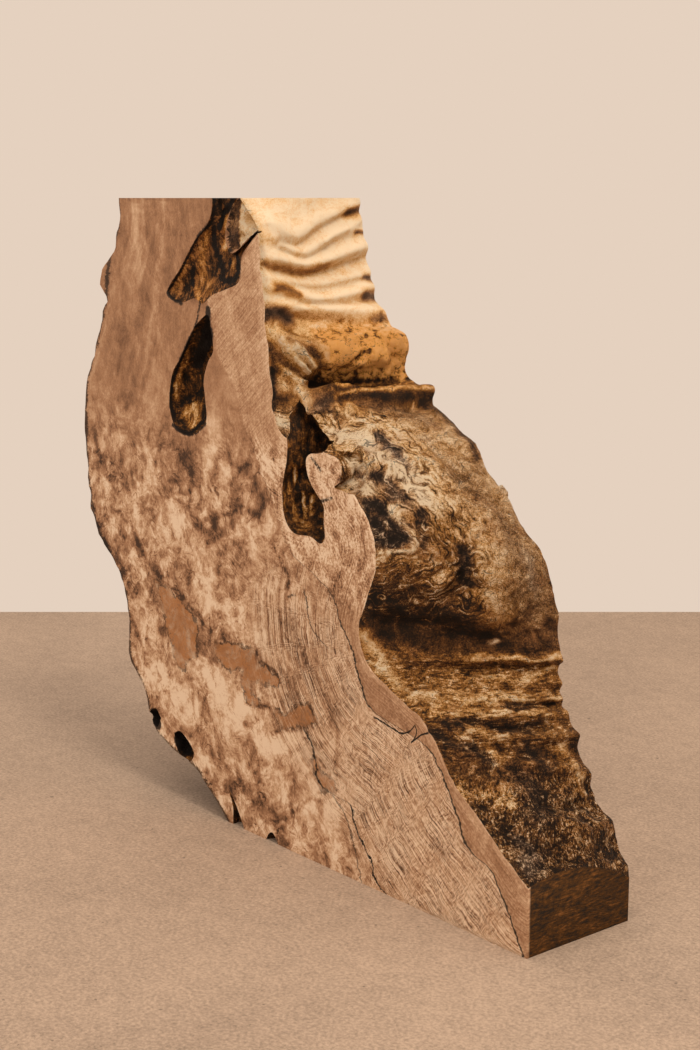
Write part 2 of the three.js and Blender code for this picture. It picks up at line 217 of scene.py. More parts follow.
# Ridges on the left side, which follow the grain
LEFT_RELIEF = {
    "long ridge": (5, 9, 9, [(22, 400), (30, 300), (24, 200), (30, 110)]),
    "long furrow": (-5, 7, 7, [(46, 380), (40, 290), (48, 190), (44, 90)]),
    "back ridge": (5, 8, 8, [(62, 410), (68, 310), (60, 220), (66, 120)]),
    "shoulder knob": (8, 14, 14, [(40, 262), (52, 256)]),
    "belly knob": (7, 12, 12, [(30, 150), (44, 144)]),
    "bark chip": (14, 7, 7, [(0, 371), (3, 359)]),
    "heel knob": (6, 12, 12, [(50, 60), (64, 56)]),
}

# The ragged rim where the left side meets the front sawn face
LEFT_RIM = {
    "notch over the bark chip": (-4, 5, 4, [(0, 384), (6, 383)]),
    "bark chip": (5, 3, 3, [(0, 370), (0, 358)]),
    "notch under the bark chip": (-6, 3, 4, [(0, 350), (6, 349)]),
    "step": (-3, 3, 5, [(0, 308), (6, 307)]),
}
RIM_REACH = 14

# Burl lumps: the size and the rise of each layer of noise; the later lists are finer than the solid's
RIGHT_LUMPS = [(27, 3.2), (11, 1.6)]
LEFT_LUMPS = [(34, 5.0), (13, 2.2)]
FINE_LUMPS = [(6.0, 1.2), (3.1, 0.8), (1.7, 0.4)]
LEFT_FINE_LUMPS = [(7, 1.6), (3.4, 0.8)]
FAN_STREAKS = [(7, 1.2), (3, 0.7)]
RIM_LUMPS = [(9, 1.8), (4, 1.0)]
BOWL_LUMPS = [(9, 2.2), (4, 1.2), (2, 0.6)]
BOWL_FLOOR_LUMPS = [(8, 1.8), (3.5, 0.9)]
CORNER_LUMPS = [(9, 1.4), (4, 0.8), (2, 0.4)]

# How far strokes of tone wander from their lines, in layers of the same kind, and the places in the noise
# that the two directions are read from
NATURAL_WANDER = [(10, 2.2), (4.5, 1.2), (2.2, 0.8)]
FIGURE_WANDER = [(16, 4), (6, 2)]
VEIN_WANDER = [(7, 2.0), (3, 1.0)]
STROKE_PLACES = (0, 50)
VEIN_PLACES = (20, 80)

# How the relief is shaped, and the heights or distances from an edge over which it fades in or out
RIDGE_POWER = 2.0
FURROW_POWER = 1.4
RIPPLE_FOOT = (320, 344)
RIPPLE_LUMP_SHARE = 0.25
FAN_STRETCH = (0.35, 0.35, 1.6)
FAN_TOP = (175, 140)
LEFT_STRETCH = (1, 1, 0.4)
RIM_FOOT = (50, 110)
EDGE_SHARE = 0.3
EDGE_REACH = 12
BACK_SHARE = 0.4
BACK_REACH = 10
BLUNT_SHARE = 0.35
BLUNT_REACH = 9
BLUNT_FOOT = (330, 345)
ROW_FADE = 14

# How light the right side is, from 0 (black) to 1 (bleached), over the height z
NATURAL_TONES = [
    (0, 0.19), (50, 0.22), (75, 0.25), (100, 0.3), (118, 0.44), (135, 0.48), (150, 0.43), (158, 0.2),
    (185, 0.33), (205, 0.47), (245, 0.76), (285, 0.8), (296, 0.3), (304, 0.3), (312, 0.58), (335, 0.68),
    (345, 0.82), (352, 0.93), (420, 0.95),
]

# The left side's tone and greyness, where the right side begins, how far down a surface faces before it
# gets painted shade, and the heights above which strokes keep closer to their lines
LEFT_TONE = 0.36
LEFT_GREY = 0.3
RIGHT_FROM = -262
FACING_DOWN = (0.15, -0.45)
STEADY_FOOT = (290, 300)
STEADY_SHARE = 0.6

# Strokes over it, each laid over the ones before: tone, greyness, width and the points as (y, z)
NATURAL_STROKES = {
    "speckled dome": (0.48, 0.2, 14, [(56, 253), (61, 225), (70, 190), (76, 159)]),
    "shade under the cheek": (0.18, 0, 10, [(3, 185), (15, 170), (29, 160), (46, 156), (68, 153)]),
    "shade by the hollow": (0.05, 0.4, 7, [(23, 294), (12, 284), (3, 272)]),
    "blue crust": (0.56, 0.8, 2.6, [(17, 290), (14, 287), (11, 284)]),
    "gold by the heart": (0.66, -0.2, 6, [(15, 283), (9, 276), (6, 270), (5, 265)]),
    "dark beside the heart": (0.14, 0, 4, [(5, 263), (3, 256), (2, 250)]),
    "tan lumps": (0.66, 0.1, 8, [(38, 256), (44, 245), (50, 235)]),
    "speckled crown": (0.52, 0.25, 6, [(44, 294), (56, 290), (66, 284)]),
    "dome's dark edge": (0.2, 0.1, 6, [(77, 295), (82, 280), (76, 262)]),
    "white crust": (1.08, 0.4, 6.5, [(19, 276), (20, 269), (24, 264), (24, 256), (25, 249), (24, 243)]),
    "lilac stripe": (0.4, 0.8, 3, [(28, 277), (27, 271), (28, 264)]),
    "inner white crust": (1.0, 0.4, 3.5, [(8, 262), (9, 255), (6, 246)]),
    "speckle": (0.26, 0.5, 4.5, [(13, 256), (16, 251), (16, 245)]),
    "black right of the scoop": (0.1, 0.3, 3.5, [(20, 237), (20, 228), (18, 220)]),
    # Painted shade: near black in the relief's scoop in the crust
    "black scoop": (0.01, 0.6, 4.2, [(4, 239), (8, 237), (10, 223), (2, 220), (3, 230)]),
    "crust edge": (0.93, 0.3, 1.3, CRUST_EDGE),
    "red swirl": (0.5, 0, 6, [(24, 225), (30, 219), (31, 210), (25, 203)]),
    "gold cheek": (0.66, 0, 8, [(44, 220), (46, 206), (45, 191), (52, 177)]),
    "black lens": (0.04, 0.3, 3, [(35, 214), (36, 203), (39, 194)]),
    "grey streak": (0.55, 0.5, 3.5, [(69, 212), (70, 195)]),
    "white dashes": (0.8, 0.35, 1.6, [(54, 277), (54, 269), (56, 261)]),
    "cream curl": (0.78, 0.1, 3, [(33, 296), (31, 293), (26, 290), (26, 293)]),
    "gold block": (0.8, -0.5, 12, [(34, 322), (50, 316), (75, 318)]),
    "block's top": (0.8, -0.3, 4, [(26, 345), (44, 341), (70, 338), (81, 334)]),
    "shade left of the block": (0.26, 0, 2.6, [(22, 327), (25, 320), (28, 313), (28, 306)]),
    "shade under the block": (0.04, 0, 1.5, [(27, 305), (32, 302.5), (45, 303), (56, 304), (68, 305)]),
    "lip": (0.06, -0.3, 3, [(30, 297.5), (44, 298), (55, 298), (68, 297), (83, 296)]),
    "lip's edge": (0.66, -0.3, 1.2, [(27, 298), (37, 301), (52, 301), (67, 303), (83, 302)]),
    "block ledge": (0.8, 0, 1.8, BLOCK_LEDGE),
    # Painted shade: darker in the block's crack
    "block crack": (0.2, 0, 1.5, [(56, 325), (50, 321), (45, 318), (40, 312)]),
    # Painted shade: darker in the toe's hollow
    "toe hollow": (0.34, 0.2, 2, TOE_HOLLOW),
    "toe body": (0.7, 0.15, 4, [(5, 303), (13, 302), (14, 297), (9, 291), (1, 285)]),
    # Painted shade: darker in the toe's groove
    "toe groove": (0.4, 0.2, 1.5, TOE_GROOVE),
    "toe fold 1": (0.8, 0.05, 1.8, TOE_FOLD_1),
    "toe fold 2": (0.76, 0.05, 1.6, TOE_FOLD_2),
    "toe fold 3": (0.74, 0.05, 1.8, TOE_FOLD_3),
    "brown by the face": (0.3, 0, 2.2, [(1, 330), (3, 320)]),
    # Painted shade: near black in the edge furrow beside the front face
    "gap by the face": (0.01, 0.5, 2, [(2, 314), (1.5, 301), (0.5, 287)]),
    "white toe": (0.95, 0.5, 2.2, [(2, 283), (4, 279), (5, 275)]),
    "blotch by the face": (0.2, 0.4, 5, [(1, 349), (8, 349), (15, 345)]),
    "ripple stain 1": (0.3, 0.05, 3, [(9, 365), (14, 364), (22, 360)]),
    # Painted shade: a darker band on the underside of ripple 4
    "painted shade under ripple 4": (0.6, 0.15, 3, [(3, 379), (14, 377), (25, 374), (36, 374), (49, 377)]),
    "ripple end 1": (0.35, 0.2, 3, [(70, 411), (77, 411), (83, 412)]),
    "ripple end 2": (0.35, 0.3, 1.6, [(75, 399), (83, 398)]),
    "ripple end 3": (0.3, 0.6, 2.5, [(77, 369), (83, 368)]),
    "ripple end 4": (0.33, 0.6, 3.5, [(75, 357), (83, 356)]),
    "ripple end 5": (0.42, 0.3, 3.5, [(74, 343), (80, 344)]),
    "corner stain": (0.88, 0, 4, [(2, 414), (4, 404), (5, 394)]),
    "pale crumbs": (0.84, 0.1, 4.5, [(1, 160), (3.5, 153), (5, 143), (6, 136), (8, 131)]),
    "glow": (0.34, 0, 6, [(28, 165), (32, 157)]),
    "fan crest 1": (0.8, -0.1, 1.9, [(40, 146), (52, 149), (66, 148), (83, 150)]),
    "fan crest 2": (0.74, -0.1, 1.7, [(47, 138), (61, 136), (83, 141)]),
    "fan crest 3": (0.8, -0.1, 1.7, [(27, 128), (42, 129), (61, 125), (82, 124)]),
    "fan crest 4": (0.78, -0.1, 1.9, [(10, 123), (25, 121), (47, 122), (71, 119)]),
    # Painted shade: near black in the relief's fan grooves 3 and 1
    "fan groove 3": (0.08, 0.1, 1.5, FAN_GROOVE),
    "fan groove 1": (0.06, 0.1, 2.4, [(9, 118), (26, 117), (35, 113), (60, 111)]),
    "fan ridge": (0.6, 0, 2, [(16, 114), (26, 109), (38, 107)]),
    # Painted shade: near black in the relief's fan groove 2
    "fan groove 2": (0.04, 0.2, 3, [(0, 114), (9, 108), (17, 102), (25, 97), (34, 92)]),
    "gold patch": (0.6, 0, 4, [(26, 104), (29, 96)]),
    "black between the fans": (0.08, 0.2, 5, [(47, 101), (51, 92)]),
    "orange by the face": (0.66, -0.1, 4.5, [(2, 83), (11, 81), (21, 79)]),
    "right lumps": (0.64, 0, 5.5, [(70, 96), (72, 86), (72, 76), (76, 69)]),
    "black heel": (0.04, 0.3, 7, [(36, 84), (38, 76), (28, 70)]),
    "heel knob": (0.42, 0.1, 3, [(49, 60), (58, 57)]),
    "grey fibres": (0.3, 0.6, 5, [(13, 59), (18, 53), (8, 49)]),
    "white fleck": (1.0, 0.8, 1.3, [(52, 157), (53, 157.6)]),
}

# The line in the burl that its grain flows beside, as (y, z)
BURL_FLOW = [(8, 291), (17, 280), (23, 264), (25, 246), (32, 224), (34, 208), (27, 196), (14, 188), (2, 184)]

# Cavities that open on the front sawn face: how deep they reach and their outline as (x, z)
CAVITIES = {
    "hollow beside the tongue": (36, [
        (-215, 298), (-218, 287), (-214, 274), (-214, 260), (-218, 245), (-219, 236), (-217, 222),
        (-208, 213), (-191, 213), (-182, 210), (-177, 214), (-178, 224), (-178, 234), (-184, 240),
        (-190, 246), (-194, 253), (-195, 261), (-191, 265), (-184, 266), (-178, 268), (-184, 274),
        (-193, 279), (-202, 283), (-209, 290),
    ]),
    "recess right of the tongue": (10, [
        (-172, 270), (-164, 265), (-161, 258), (-163, 251), (-168, 247), (-160, 246), (-152, 245),
        (-138, 248), (-132, 266), (-144, 280),
    ]),
    "upper bark pocket": (9, [
        (-289, 423), (-291, 410), (-298, 401), (-308, 394), (-317, 385), (-328, 373), (-338, 364),
        (-342, 358), (-335, 353), (-324, 352), (-311, 355), (-302, 352), (-291, 358), (-277, 362),
        (-263, 367), (-260, 377), (-257, 386), (-240, 400), (-249, 396), (-264, 387), (-271, 386),
        (-276, 395), (-273, 408), (-265, 423),
    ]),
    "lower bark pocket": (20, [
        (-311, 337), (-320, 326), (-329, 314), (-338, 304), (-342, 290), (-342, 278), (-336, 267),
        (-323, 263), (-311, 266), (-300, 275), (-301, 290), (-302, 302), (-297, 314), (-291, 322),
        (-293, 335), (-297, 345),
    ]),
    "outer edge hole": (16, [(-361, 55), (-367, 47), (-377, 54), (-368, 61)]),
    "inner edge hole": (20, [(-345, 48), (-337, 51), (-326, 45), (-321, 38), (-328, 31), (-340, 35)]),
    "foot crack": (10, [(-281, 24), (-276, 12), (-275, -3), (-263, -3), (-272, 14)]),
    "foot notch": (8, [(-241, -3), (-236, 5), (-231, 6), (-226, -3)]),
}
CUT_LEAD = 4.0
BOWL_STEP = 1.6
BOWL_TURN = math.radians(82)
BOWL_CALM_RIM = 6
BOWL_PLACES = (31, 97, 67)
BOWL_FLOOR_STRETCH = (1, 0.3, 1)
LEAST_SIDES = 24
LEAST_RINGS = 5
RIM_POINTS = 400

# The staggered grid of a flat face: its rows, its gap to the outline as shares of the step, and how many of
# the outline's points the gap is measured from
GRID_ROW_SHARE = 0.87
GRID_GAP_SHARE = 0.7
GRID_RIM_POINTS = 300

# How light the sawn faces are over the height z, and strokes over it: tone, width and the points as (x, z)
SAWN_TONES = [(0, 0.6), (100, 0.6), (200, 0.61), (320, 0.48), (345, 0.41), (420, 0.4)]
SAWN_STROKES = {
    "top streak 1": (0.58, 9, [(-377, 417), (-377, 387), (-385, 358)]),
    "top streak 2": (0.55, 8, [(-343, 417), (-351, 377), (-361, 325), (-364, 297)]),
    "brown column": (0.36, 13, [(-402, 341), (-398, 285)]),
    "pale by the lower pocket": (0.84, 8, [(-291, 268), (-293, 255), (-302, 250)]),
    "pale left": (0.74, 9, [(-413, 211), (-399, 206), (-382, 200)]),
    "pale middle": (0.8, 8, [(-350, 215), (-343, 206), (-336, 202)]),
    "pale finger 1": (0.8, 6, [(-369, 186), (-362, 177)]),
    "pale finger 2": (0.84, 9, [(-312, 181), (-307, 166)]),
    "pale finger 3": (0.8, 5, [(-307, 228), (-306, 219)]),
    "brown blotch": (0.3, 10, [(-338, 258), (-325, 248), (-325, 236)]),
    "dark smudge": (0.08, 6, [(-308, 203), (-300, 199), (-290, 204)]),
    "brown arch": (0.38, 9, [(-270, 226), (-264, 240), (-251, 249), (-241, 243), (-235, 230)]),
    "arch dots": (0.16, 4, [(-238, 235), (-235, 230), (-244, 220)]),
    "pale under the arch": (0.82, 6, [(-274, 204), (-255, 211)]),
    "pale flame 1": (0.9, 9, [(-299, 153), (-270, 146), (-244, 136)]),
    "pale flame 2": (0.84, 9, [(-385, 143), (-373, 118), (-362, 88)]),
    "pale flame 3": (0.92, 12, [(-362, 84), (-347, 75), (-323, 70)]),
    "pale flame 4": (0.92, 11, [(-310, 100), (-289, 92), (-274, 79), (-256, 85)]),
    "pale low 1": (0.84, 9, [(-238, 67), (-220, 69), (-206, 75)]),
    "pale low 2": (0.82, 7, [(-228, 44), (-221, 37)]),
    "pale low 3": (0.86, 9, [(-212, 21), (-186, 32), (-170, 45)]),
    "pale low 4": (0.8, 6, [(-170, 17), (-157, 13)]),
    "brown low 1": (0.36, 8, [(-264, 33), (-253, 23), (-246, 14)]),
    "brown low 2": (0.48, 8, [(-279, 57), (-264, 58), (-253, 55)]),
    "brown low 3": (0.24, 10, [(-209, 115), (-209, 104), (-203, 96)]),
    "brown low 4": (0.3, 4, [(-232, 18), (-224, 12), (-216, 3)]),
    "tan bars": (0.34, 12, [(-216, 150), (-190, 130), (-172, 104)]),
    "brown rim": (0.26, 7, [(-445, 205), (-429, 172), (-416, 161), (-401, 150), (-390, 144)]),
}

# Dark veins in it, soft and broken: depth of tone, width and the points as (x, z)
VEINS = [
    (0.55, 2.2, [(-395, 190), (-379, 173), (-359, 158), (-332, 149), (-311, 139), (-295, 127), (-288, 121)]),
    (0.3, 3.0, [(-440, 252), (-433, 235), (-424, 222), (-417, 212)]),
    (0.35, 2.6, [(-429, 198), (-407, 197), (-397, 192)]),
    (0.3, 2.6, [(-318, 241), (-317, 229), (-321, 219), (-323, 209)]),
    (0.4, 1.6, [(-275, 231), (-270, 239), (-262, 246), (-253, 253), (-253, 258), (-243, 263)]),
    (0.55, 1.8, [(-243, 212), (-237, 203), (-227, 199), (-218, 190), (-213, 182), (-215, 170)]),
    (0.45, 1.6, [(-282, 214), (-274, 216), (-264, 223), (-258, 223), (-252, 220), (-243, 217)]),
    (0.5, 2.0, [(-285, 201), (-293, 197), (-303, 191)]),
    (0.3, 2.2, [(-355, 251), (-359, 239), (-346, 230), (-329, 229)]),
    (0.7, 1.5, [(-248, 127), (-246, 121), (-237, 121), (-227, 116), (-221, 111)]),
    (0.6, 1.5, [(-261, 89), (-247, 91), (-230, 94)]),
    (0.7, 1.5, [(-227, 79), (-210, 83), (-198, 88), (-191, 92), (-188, 96), (-194, 103)]),
    (0.4, 1.4, [(-177, 114), (-169, 99), (-165, 85), (-167, 71), (-168, 62)]),
    (0.6, 1.4, [(-186, 78), (-176, 83)]),
    (0.6, 1.8, [(-279, 26), (-274, 18)]),
    (0.35, 1.6, [(-221, 18), (-203, 33), (-193, 39), (-179, 45)]),
    (0.3, 1.4, [(-186, 9), (-176, 18), (-161, 24)]),
]

# Bark in the cavities, as it is seen on the sawn face: tone, width and the points as (x, z)
BARK_TONE = 0.14
BARK_STROKES = {
    "finger": (0.54, 6, [(-295, 399), (-301, 384), (-301, 371), (-294, 362)]),
    "left lobe": (0.46, 5, [(-316, 383), (-328, 367), (-333, 359)]),
    "pale finger": (0.8, 4, [(-275, 406), (-272, 397), (-275, 389)]),
    "inside of the ring": (0.6, 2.5, [(-267, 381), (-268, 375)]),
    "neck": (0.6, 4, [(-307, 360), (-306, 350)]),
    "left rim": (0.52, 3.5, [(-320, 317), (-330, 303), (-335, 289)]),
    "bottom ring": (0.66, 5, [(-324, 276), (-312, 280), (-314, 269)]),
    "rib 1": (1.0, 1.9, [(-205, 254), (-205, 243)]),
    "rib 2": (0.95, 1.9, [(-196, 235), (-193, 222)]),
    "rib 3": (0.8, 1.5, [(-186, 233), (-187, 223)]),
    "hollow's floor": (0.5, 3.5, [(-208, 234), (-203, 220), (-192, 216)]),
    "hollow's wall": (0.4, 3, [(-213, 240), (-214, 226)]),
}

# Soot on the front, in the cavities too: width and the points as (x, z) seen on the sawn face
SOOT = [
    (1.6, [(-288, 420), (-288, 414), (-290, 406), (-295, 402)]),
    (2.6, [(-267, 420), (-270, 415), (-276, 411), (-282, 401)]),
    (1.3, [(-295, 402), (-307, 394), (-321, 378), (-333, 366), (-342, 358), (-337, 354), (-326, 351)]),
    (2.6, [(-288, 400), (-287, 389), (-282, 380), (-278, 371)]),
    (2.3, [(-282, 369), (-274, 367), (-265, 369), (-262, 376), (-263, 383)]),
    (1.6, [(-272, 387), (-264, 391), (-252, 396), (-239, 401)]),
    (0.9, [(-272, 386), (-270, 380), (-274, 373)]),
    (2.8, [(-312, 374), (-313, 364)]),
    (1.0, [(-304, 356), (-306, 349), (-310, 338), (-320, 325)]),
    (3.0, [(-296, 348), (-297, 338)]),
    (6.5, [(-297, 332), (-300, 324), (-308, 312)]),
    (1.8, [(-317, 328), (-329, 312), (-338, 298), (-341, 283), (-337, 274)]),
    (1.6, [(-339, 268), (-326, 264), (-315, 265), (-301, 273)]),
    (1.0, [(-338, 282), (-321, 285), (-304, 292)]),
    (0.8, [(-334, 276), (-326, 282), (-312, 284)]),
    (1.2, [(-190, 263), (-186, 260), (-181, 256)]),
    (1.6, [(-200, 250), (-199, 238), (-198, 222)]),
    (1.2, [(-190, 232), (-190, 220)]),
    (1.0, [(-180, 237), (-174, 239), (-170, 240)]),
    (0.5, [(-214, 170), (-211, 172), (-206, 173)]),
    (5.0, [(-371, 55), (-366, 50)]),
    (6.0, [(-339, 43), (-328, 38)]),
]
SOOT_REACH = 45
NO_SOOT = 50
SIGHT_SLOPE = 1.4

# The rough corner of natural wood above the crack, on the front face
CORNER = [
    (-264, 422), (-272, 408), (-275, 396), (-270, 387), (-263, 388), (-250, 397), (-238, 402), (-234, 422),
]
CORNER_DEPTH = 1.6
CORNER_LEAST_DEPTH = 0.1

# Stains on the sawn face with dark edges, as outlines of (x, z)
STAINS = [
    [(-367, 157), (-349, 152), (-330, 144), (-315, 135), (-312, 130), (-316, 123), (-315, 112), (-325, 106),
     (-334, 96), (-344, 107), (-353, 127), (-361, 147)],
    [(-294, 124), (-279, 127), (-262, 128), (-251, 127), (-246, 121), (-228, 117), (-223, 111), (-227, 108),
     (-246, 107), (-254, 103), (-254, 99), (-245, 94), (-252, 89), (-259, 91), (-265, 104), (-263, 111),
     (-270, 112), (-280, 108), (-293, 116)],
    [(-230, 94), (-222, 91), (-213, 95), (-196, 104), (-186, 97), (-189, 91), (-206, 85), (-222, 83)],
    [(-188, 72), (-184, 67), (-179, 60), (-169, 61), (-168, 55), (-174, 50), (-181, 51), (-190, 63)],
]

# The dark line round the heart that the decay drew through the wood, as (x, z) from its foot to its top,
# and the limits of x that it keeps to
HEART_LINE = [
    (-3, 0), (-10, 14), (-22, 34), (-30, 44), (-47, 51), (-59, 71), (-72, 92), (-81, 102), (-107, 109),
    (-136, 117), (-144, 131), (-151, 148), (-163, 165), (-169, 178), (-187, 189), (-210, 200), (-222, 216),
    (-232, 236), (-240, 246), (-251, 266), (-258, 275), (-266, 296), (-286, 321), (-291, 339), (-296, 358),
    (-283, 366), (-262, 378), (-250, 392), (-238, 401),
]
HEART_SPAN = (-320, 0)

# Thinner dark lines that rise: width, strength, share of the kinks, the heights where they fade in and out,
# the limits of x that they keep to, and the points as (x, z) from the foot to the top
RISING_LINES = {
    "branch": (1.1, 1.0, 1.0, (-20, -19), (88, 84), (-210, -110), [
        (-119, 0), (-129, 6), (-131, 13), (-138, 23), (-147, 34), (-153, 48), (-173, 51), (-183, 54),
        (-187, 69), (-191, 78), (-198, 86),
    ]),
    "twin": (0.7, 0.7, 0.8, (-20, -19), (52, 48), (-210, -110), [
        (-142, 0), (-146, 13), (-151, 26), (-158, 40), (-169, 49),
    ]),
    "knot": (0.8, 0.8, 0.7, (143, 146), (180, 176), (-210, -110), [
        (-174, 145), (-187, 152), (-194, 162), (-195, 170), (-197, 177),
    ]),
    "squiggle's turn": (0.5, 1.0, 0.0, (102, 103), (115, 114), (-110, -80), [
        (-97, 103), (-92.5, 110.5), (-94, 114),
    ]),
}

# Dark lines that run level, in the same order, with x where they fade in and out and the limits of z
LEVEL_LINES = {
    "squiggle": (0.7, 1.0, 0.3, (-132, -130), (-93, -95), (90, 130), [
        (-131, 110.5), (-122, 109.5), (-112, 107), (-104, 106.5), (-94, 114),
    ]),
    "squiggle's end": (0.7, 1.0, 0.2, (-98, -97), (-81, -83), (90, 130), [
        (-97, 103), (-87, 110), (-82, 112),
    ]),
}

# Saw marks run up to the right across the sawn faces, and the figure leans along the grain and moves in x
# and in z from the front face to the back
SAW_ANGLE = math.radians(38)
GRAIN_LEAN = 0.35
FIGURE_SHIFT_X = 14
FIGURE_SHIFT_Z = -9

# Where the sawn face's zones fade in or out, as heights or as distances from its left or right edge
HATCHED_BELOW = (215, 150)
HATCHED_WITHIN = (130, 85)
RINGED_ABOVE = (200, 330)
RINGED_WITHIN = (160, 60)
SPALTED_BELOW = (300, 220)
SAW_MARKS_ABOVE = (240, 290)
HEART_BELOW = (230, 150)
NECK_ABOVE = (165, 190)
NECK_BELOW = (275, 255)
EVEN_ABOVE = (260, 300)
LIGHT_ABOVE = (170, 215)
LIGHT_BELOW = (100, 60)
# A painted highlight along the front face's right edge fades in over these distances from it
HIGHLIGHT_WITHIN = (8, 3)
HIGHLIGHT_EDGE_WITHIN = (1.8, 0.6)
END_BEYOND = (-1.2, -0.5)
END_BEHIND = (0.01, 0.03)

# Where the natural side's zones fade in or out, as heights, as x or as distances behind the front face
LEFT_BEYOND = (-255, -275)
FANS_BELOW = (165, 140)
FOOT_BELOW = (104, 78)
DOME_ABOVE = (160, 185)
DOME_BELOW = (294, 286)
STIPPLE_BEHIND = (38, 54)
BLOCK_ABOVE = (300, 308)
BLOCK_BELOW = (346, 334)
BLOCK_BEHIND = (24, 32)
RIPPLES_ABOVE = (332, 350)
RIPPLES_BEHIND = (1.0, 5.0)
UPPER_POCKET_ABOVE = (345, 353)
SHEEN = 0.22


# Form


def spline(points, t):
    """Points of the smooth curve through the given ones, at t counted in points."""
    p = np.asarray(points, float)
    last = len(p) - 1
    i = np.clip(np.floor(t).astype(int), 0, last - 1)
    w = (t - i)[:, None]
    before, here = p[np.maximum(i - 1, 0)], p[i]
    there, after = p[i + 1], p[np.minimum(i + 2, last)]
    leave, arrive = (there - before) / 2, (after - here) / 2
    cubic = 2 * here - 2 * there + leave + arrive
    square = -3 * here + 3 * there - 2 * leave - arrive
    return cubic * w**3 + square * w**2 + leave * w + here


def smooth_line(points, pieces=6):
    """A line of given points, rounded into a fine one."""
    return spline(points, np.linspace(0, len(points) - 1, (len(points) - 1) * pieces + 1))


def smoothstep(value, low, high):
    """0 below low, 1 above high and a soft rise between them."""
    t = np.clip((value - low) / (high - low), 0, 1)
    return t * t * (3 - 2 * t)


def lattice_value(i, j, k):
    """A fixed number between -1 and 1 for each point of a whole-number lattice."""
    h = i.astype(np.uint32) * np.uint32(374761393)
    h = h ^ (j.astype(np.uint32) * np.uint32(668265263))
    h = h ^ (k.astype(np.uint32) * np.uint32(1442695041))
    h = (h ^ (h >> np.uint32(13))) * np.uint32(1274126177)
    return (h ^ (h >> np.uint32(16))) / 4294967295 * 2 - 1


def noise(points):
    """Smooth value noise between -1 and 1 at each point."""
    cell = np.floor(points).astype(np.int64)
    ease = points - cell
    ease = ease * ease * (3 - 2 * ease)
    total = np.zeros(points.shape[:-1])
    for corner in range(8):
        step = np.array([corner & 1, corner >> 1 & 1, corner >> 2 & 1])
        at = cell + step
        weight = np.prod(np.where(step, ease, 1 - ease), axis=-1)
        total += weight * lattice_value(at[..., 0], at[..., 1], at[..., 2])
    return total


def lumps(points, layers):
    """Layers of noise, each with its size and rise."""
    return sum(rise * noise(points / size) for size, rise in layers)


def nearest_on_line(y, z, line):
    """The distance to a line in the plane, and the height of the nearest point on it."""
    best = np.full(y.shape, np.inf)
    height = np.zeros(y.shape)
    for (y0, z0), (y1, z1) in zip(line, line[1:]):
        dy, dz = y1 - y0, z1 - z0
        t = np.clip(((y - y0) * dy + (z - z0) * dz) / (dy * dy + dz * dz), 0, 1)
        square = (y - y0 - t * dy) ** 2 + (z - z0 - t * dz) ** 2
        closer = square < best
        best = np.where(closer, square, best)
        height = np.where(closer, z0 + t * dz, height)
    return np.sqrt(best), height


def relief(y, z, lines):
    """The sum of all ridges and furrows at points of a natural side."""
    total = np.zeros(y.shape)
    for rise, above, below, points in lines.values():
        distance, height = nearest_on_line(y, z, smooth_line(points, 4))
        reach = np.where(z > height, above, below)
        power = RIDGE_POWER if rise > 0 else FURROW_POWER
        total += rise * np.exp(-((distance / reach) ** power))
    return total


def base_rows(stations, row_step, layers):
    """Rows of points up or down a natural side, each from the front face to the back."""
    stations = np.asarray(stations, float)
    steps = []
    for i, (here, there) in enumerate(zip(stations, stations[1:])):
        longest = np.linalg.norm(there - here, axis=1).max()
        steps += list(i + np.arange(math.ceil(longest / row_step)) / math.ceil(longest / row_step))
    t = np.array(steps + [len(stations) - 1.0])
    front, middle, back = (spline(stations[:, k], t)[:, None] for k in range(3))
    v = np.linspace(0, 1, layers + 1)[None, :, None]
    xz = 2 * (v - 0.5) * (v - 1) * front - 4 * v * (v - 1) * middle + 2 * v * (v - 0.5) * back
    y = np.broadcast_to(v * THICKNESS, xz.shape[:2] + (1,))
    return np.concatenate([xz[..., :1], y, xz[..., 1:]], axis=-1)


def raised_rows(rows, rise, row_step):
    """The rows moved out by their rise, across the slab's edge and never through a sawn plane."""
    along = np.gradient(rows, axis=0)
    along[..., 1] = 0
    along /= np.linalg.norm(along, axis=-1, keepdims=True)
    index = np.arange(len(rows))
    from_end = smoothstep(np.minimum(index, index[::-1]) * row_step, 0, ROW_FADE)[:, None]
    out = rows.copy()
    out[..., 0] += along[..., 2] * rise
    out[..., 2] -= along[..., 0] * rise * from_end
    return out


def face_share(y):
    """How much of the relief is left near the sawn front face."""
    return EDGE_SHARE + (1 - EDGE_SHARE) * smoothstep(y, 0, EDGE_REACH)


def right_side(row_step, layers, fine):
    """Rows of the right side, and the rise of its relief at each point."""
    rows = base_rows(RIGHT_STATIONS, row_step, layers)
    y, z = rows[..., 1], rows[..., 2]
    calm = 1 - (1 - RIPPLE_LUMP_SHARE) * smoothstep(z, *RIPPLE_FOOT)
    form = relief(y, z, RIGHT_RELIEF) + calm * lumps(rows, RIGHT_LUMPS)
    streaks = lumps(rows * FAN_STRETCH, FAN_STREAKS) * smoothstep(z, *FAN_TOP)
    quiet = 1 - (1 - BACK_SHARE) * smoothstep(y, THICKNESS - BACK_REACH, THICKNESS)
    detail = (relief(y, z, RIGHT_FINE_RELIEF) + calm * lumps(rows, FINE_LUMPS) + streaks) * quiet
    from_start = smoothstep(np.arange(len(rows)) * row_step, 0, ROW_FADE)[:, None]
    near_back = smoothstep(y, THICKNESS - BLUNT_REACH, THICKNESS)
    blunt = 1 - BLUNT_SHARE * near_back * smoothstep(z, *BLUNT_FOOT)
    rise = (form * blunt + fine * detail) * face_share(y) * from_start
    return raised_rows(rows, rise, row_step), rise


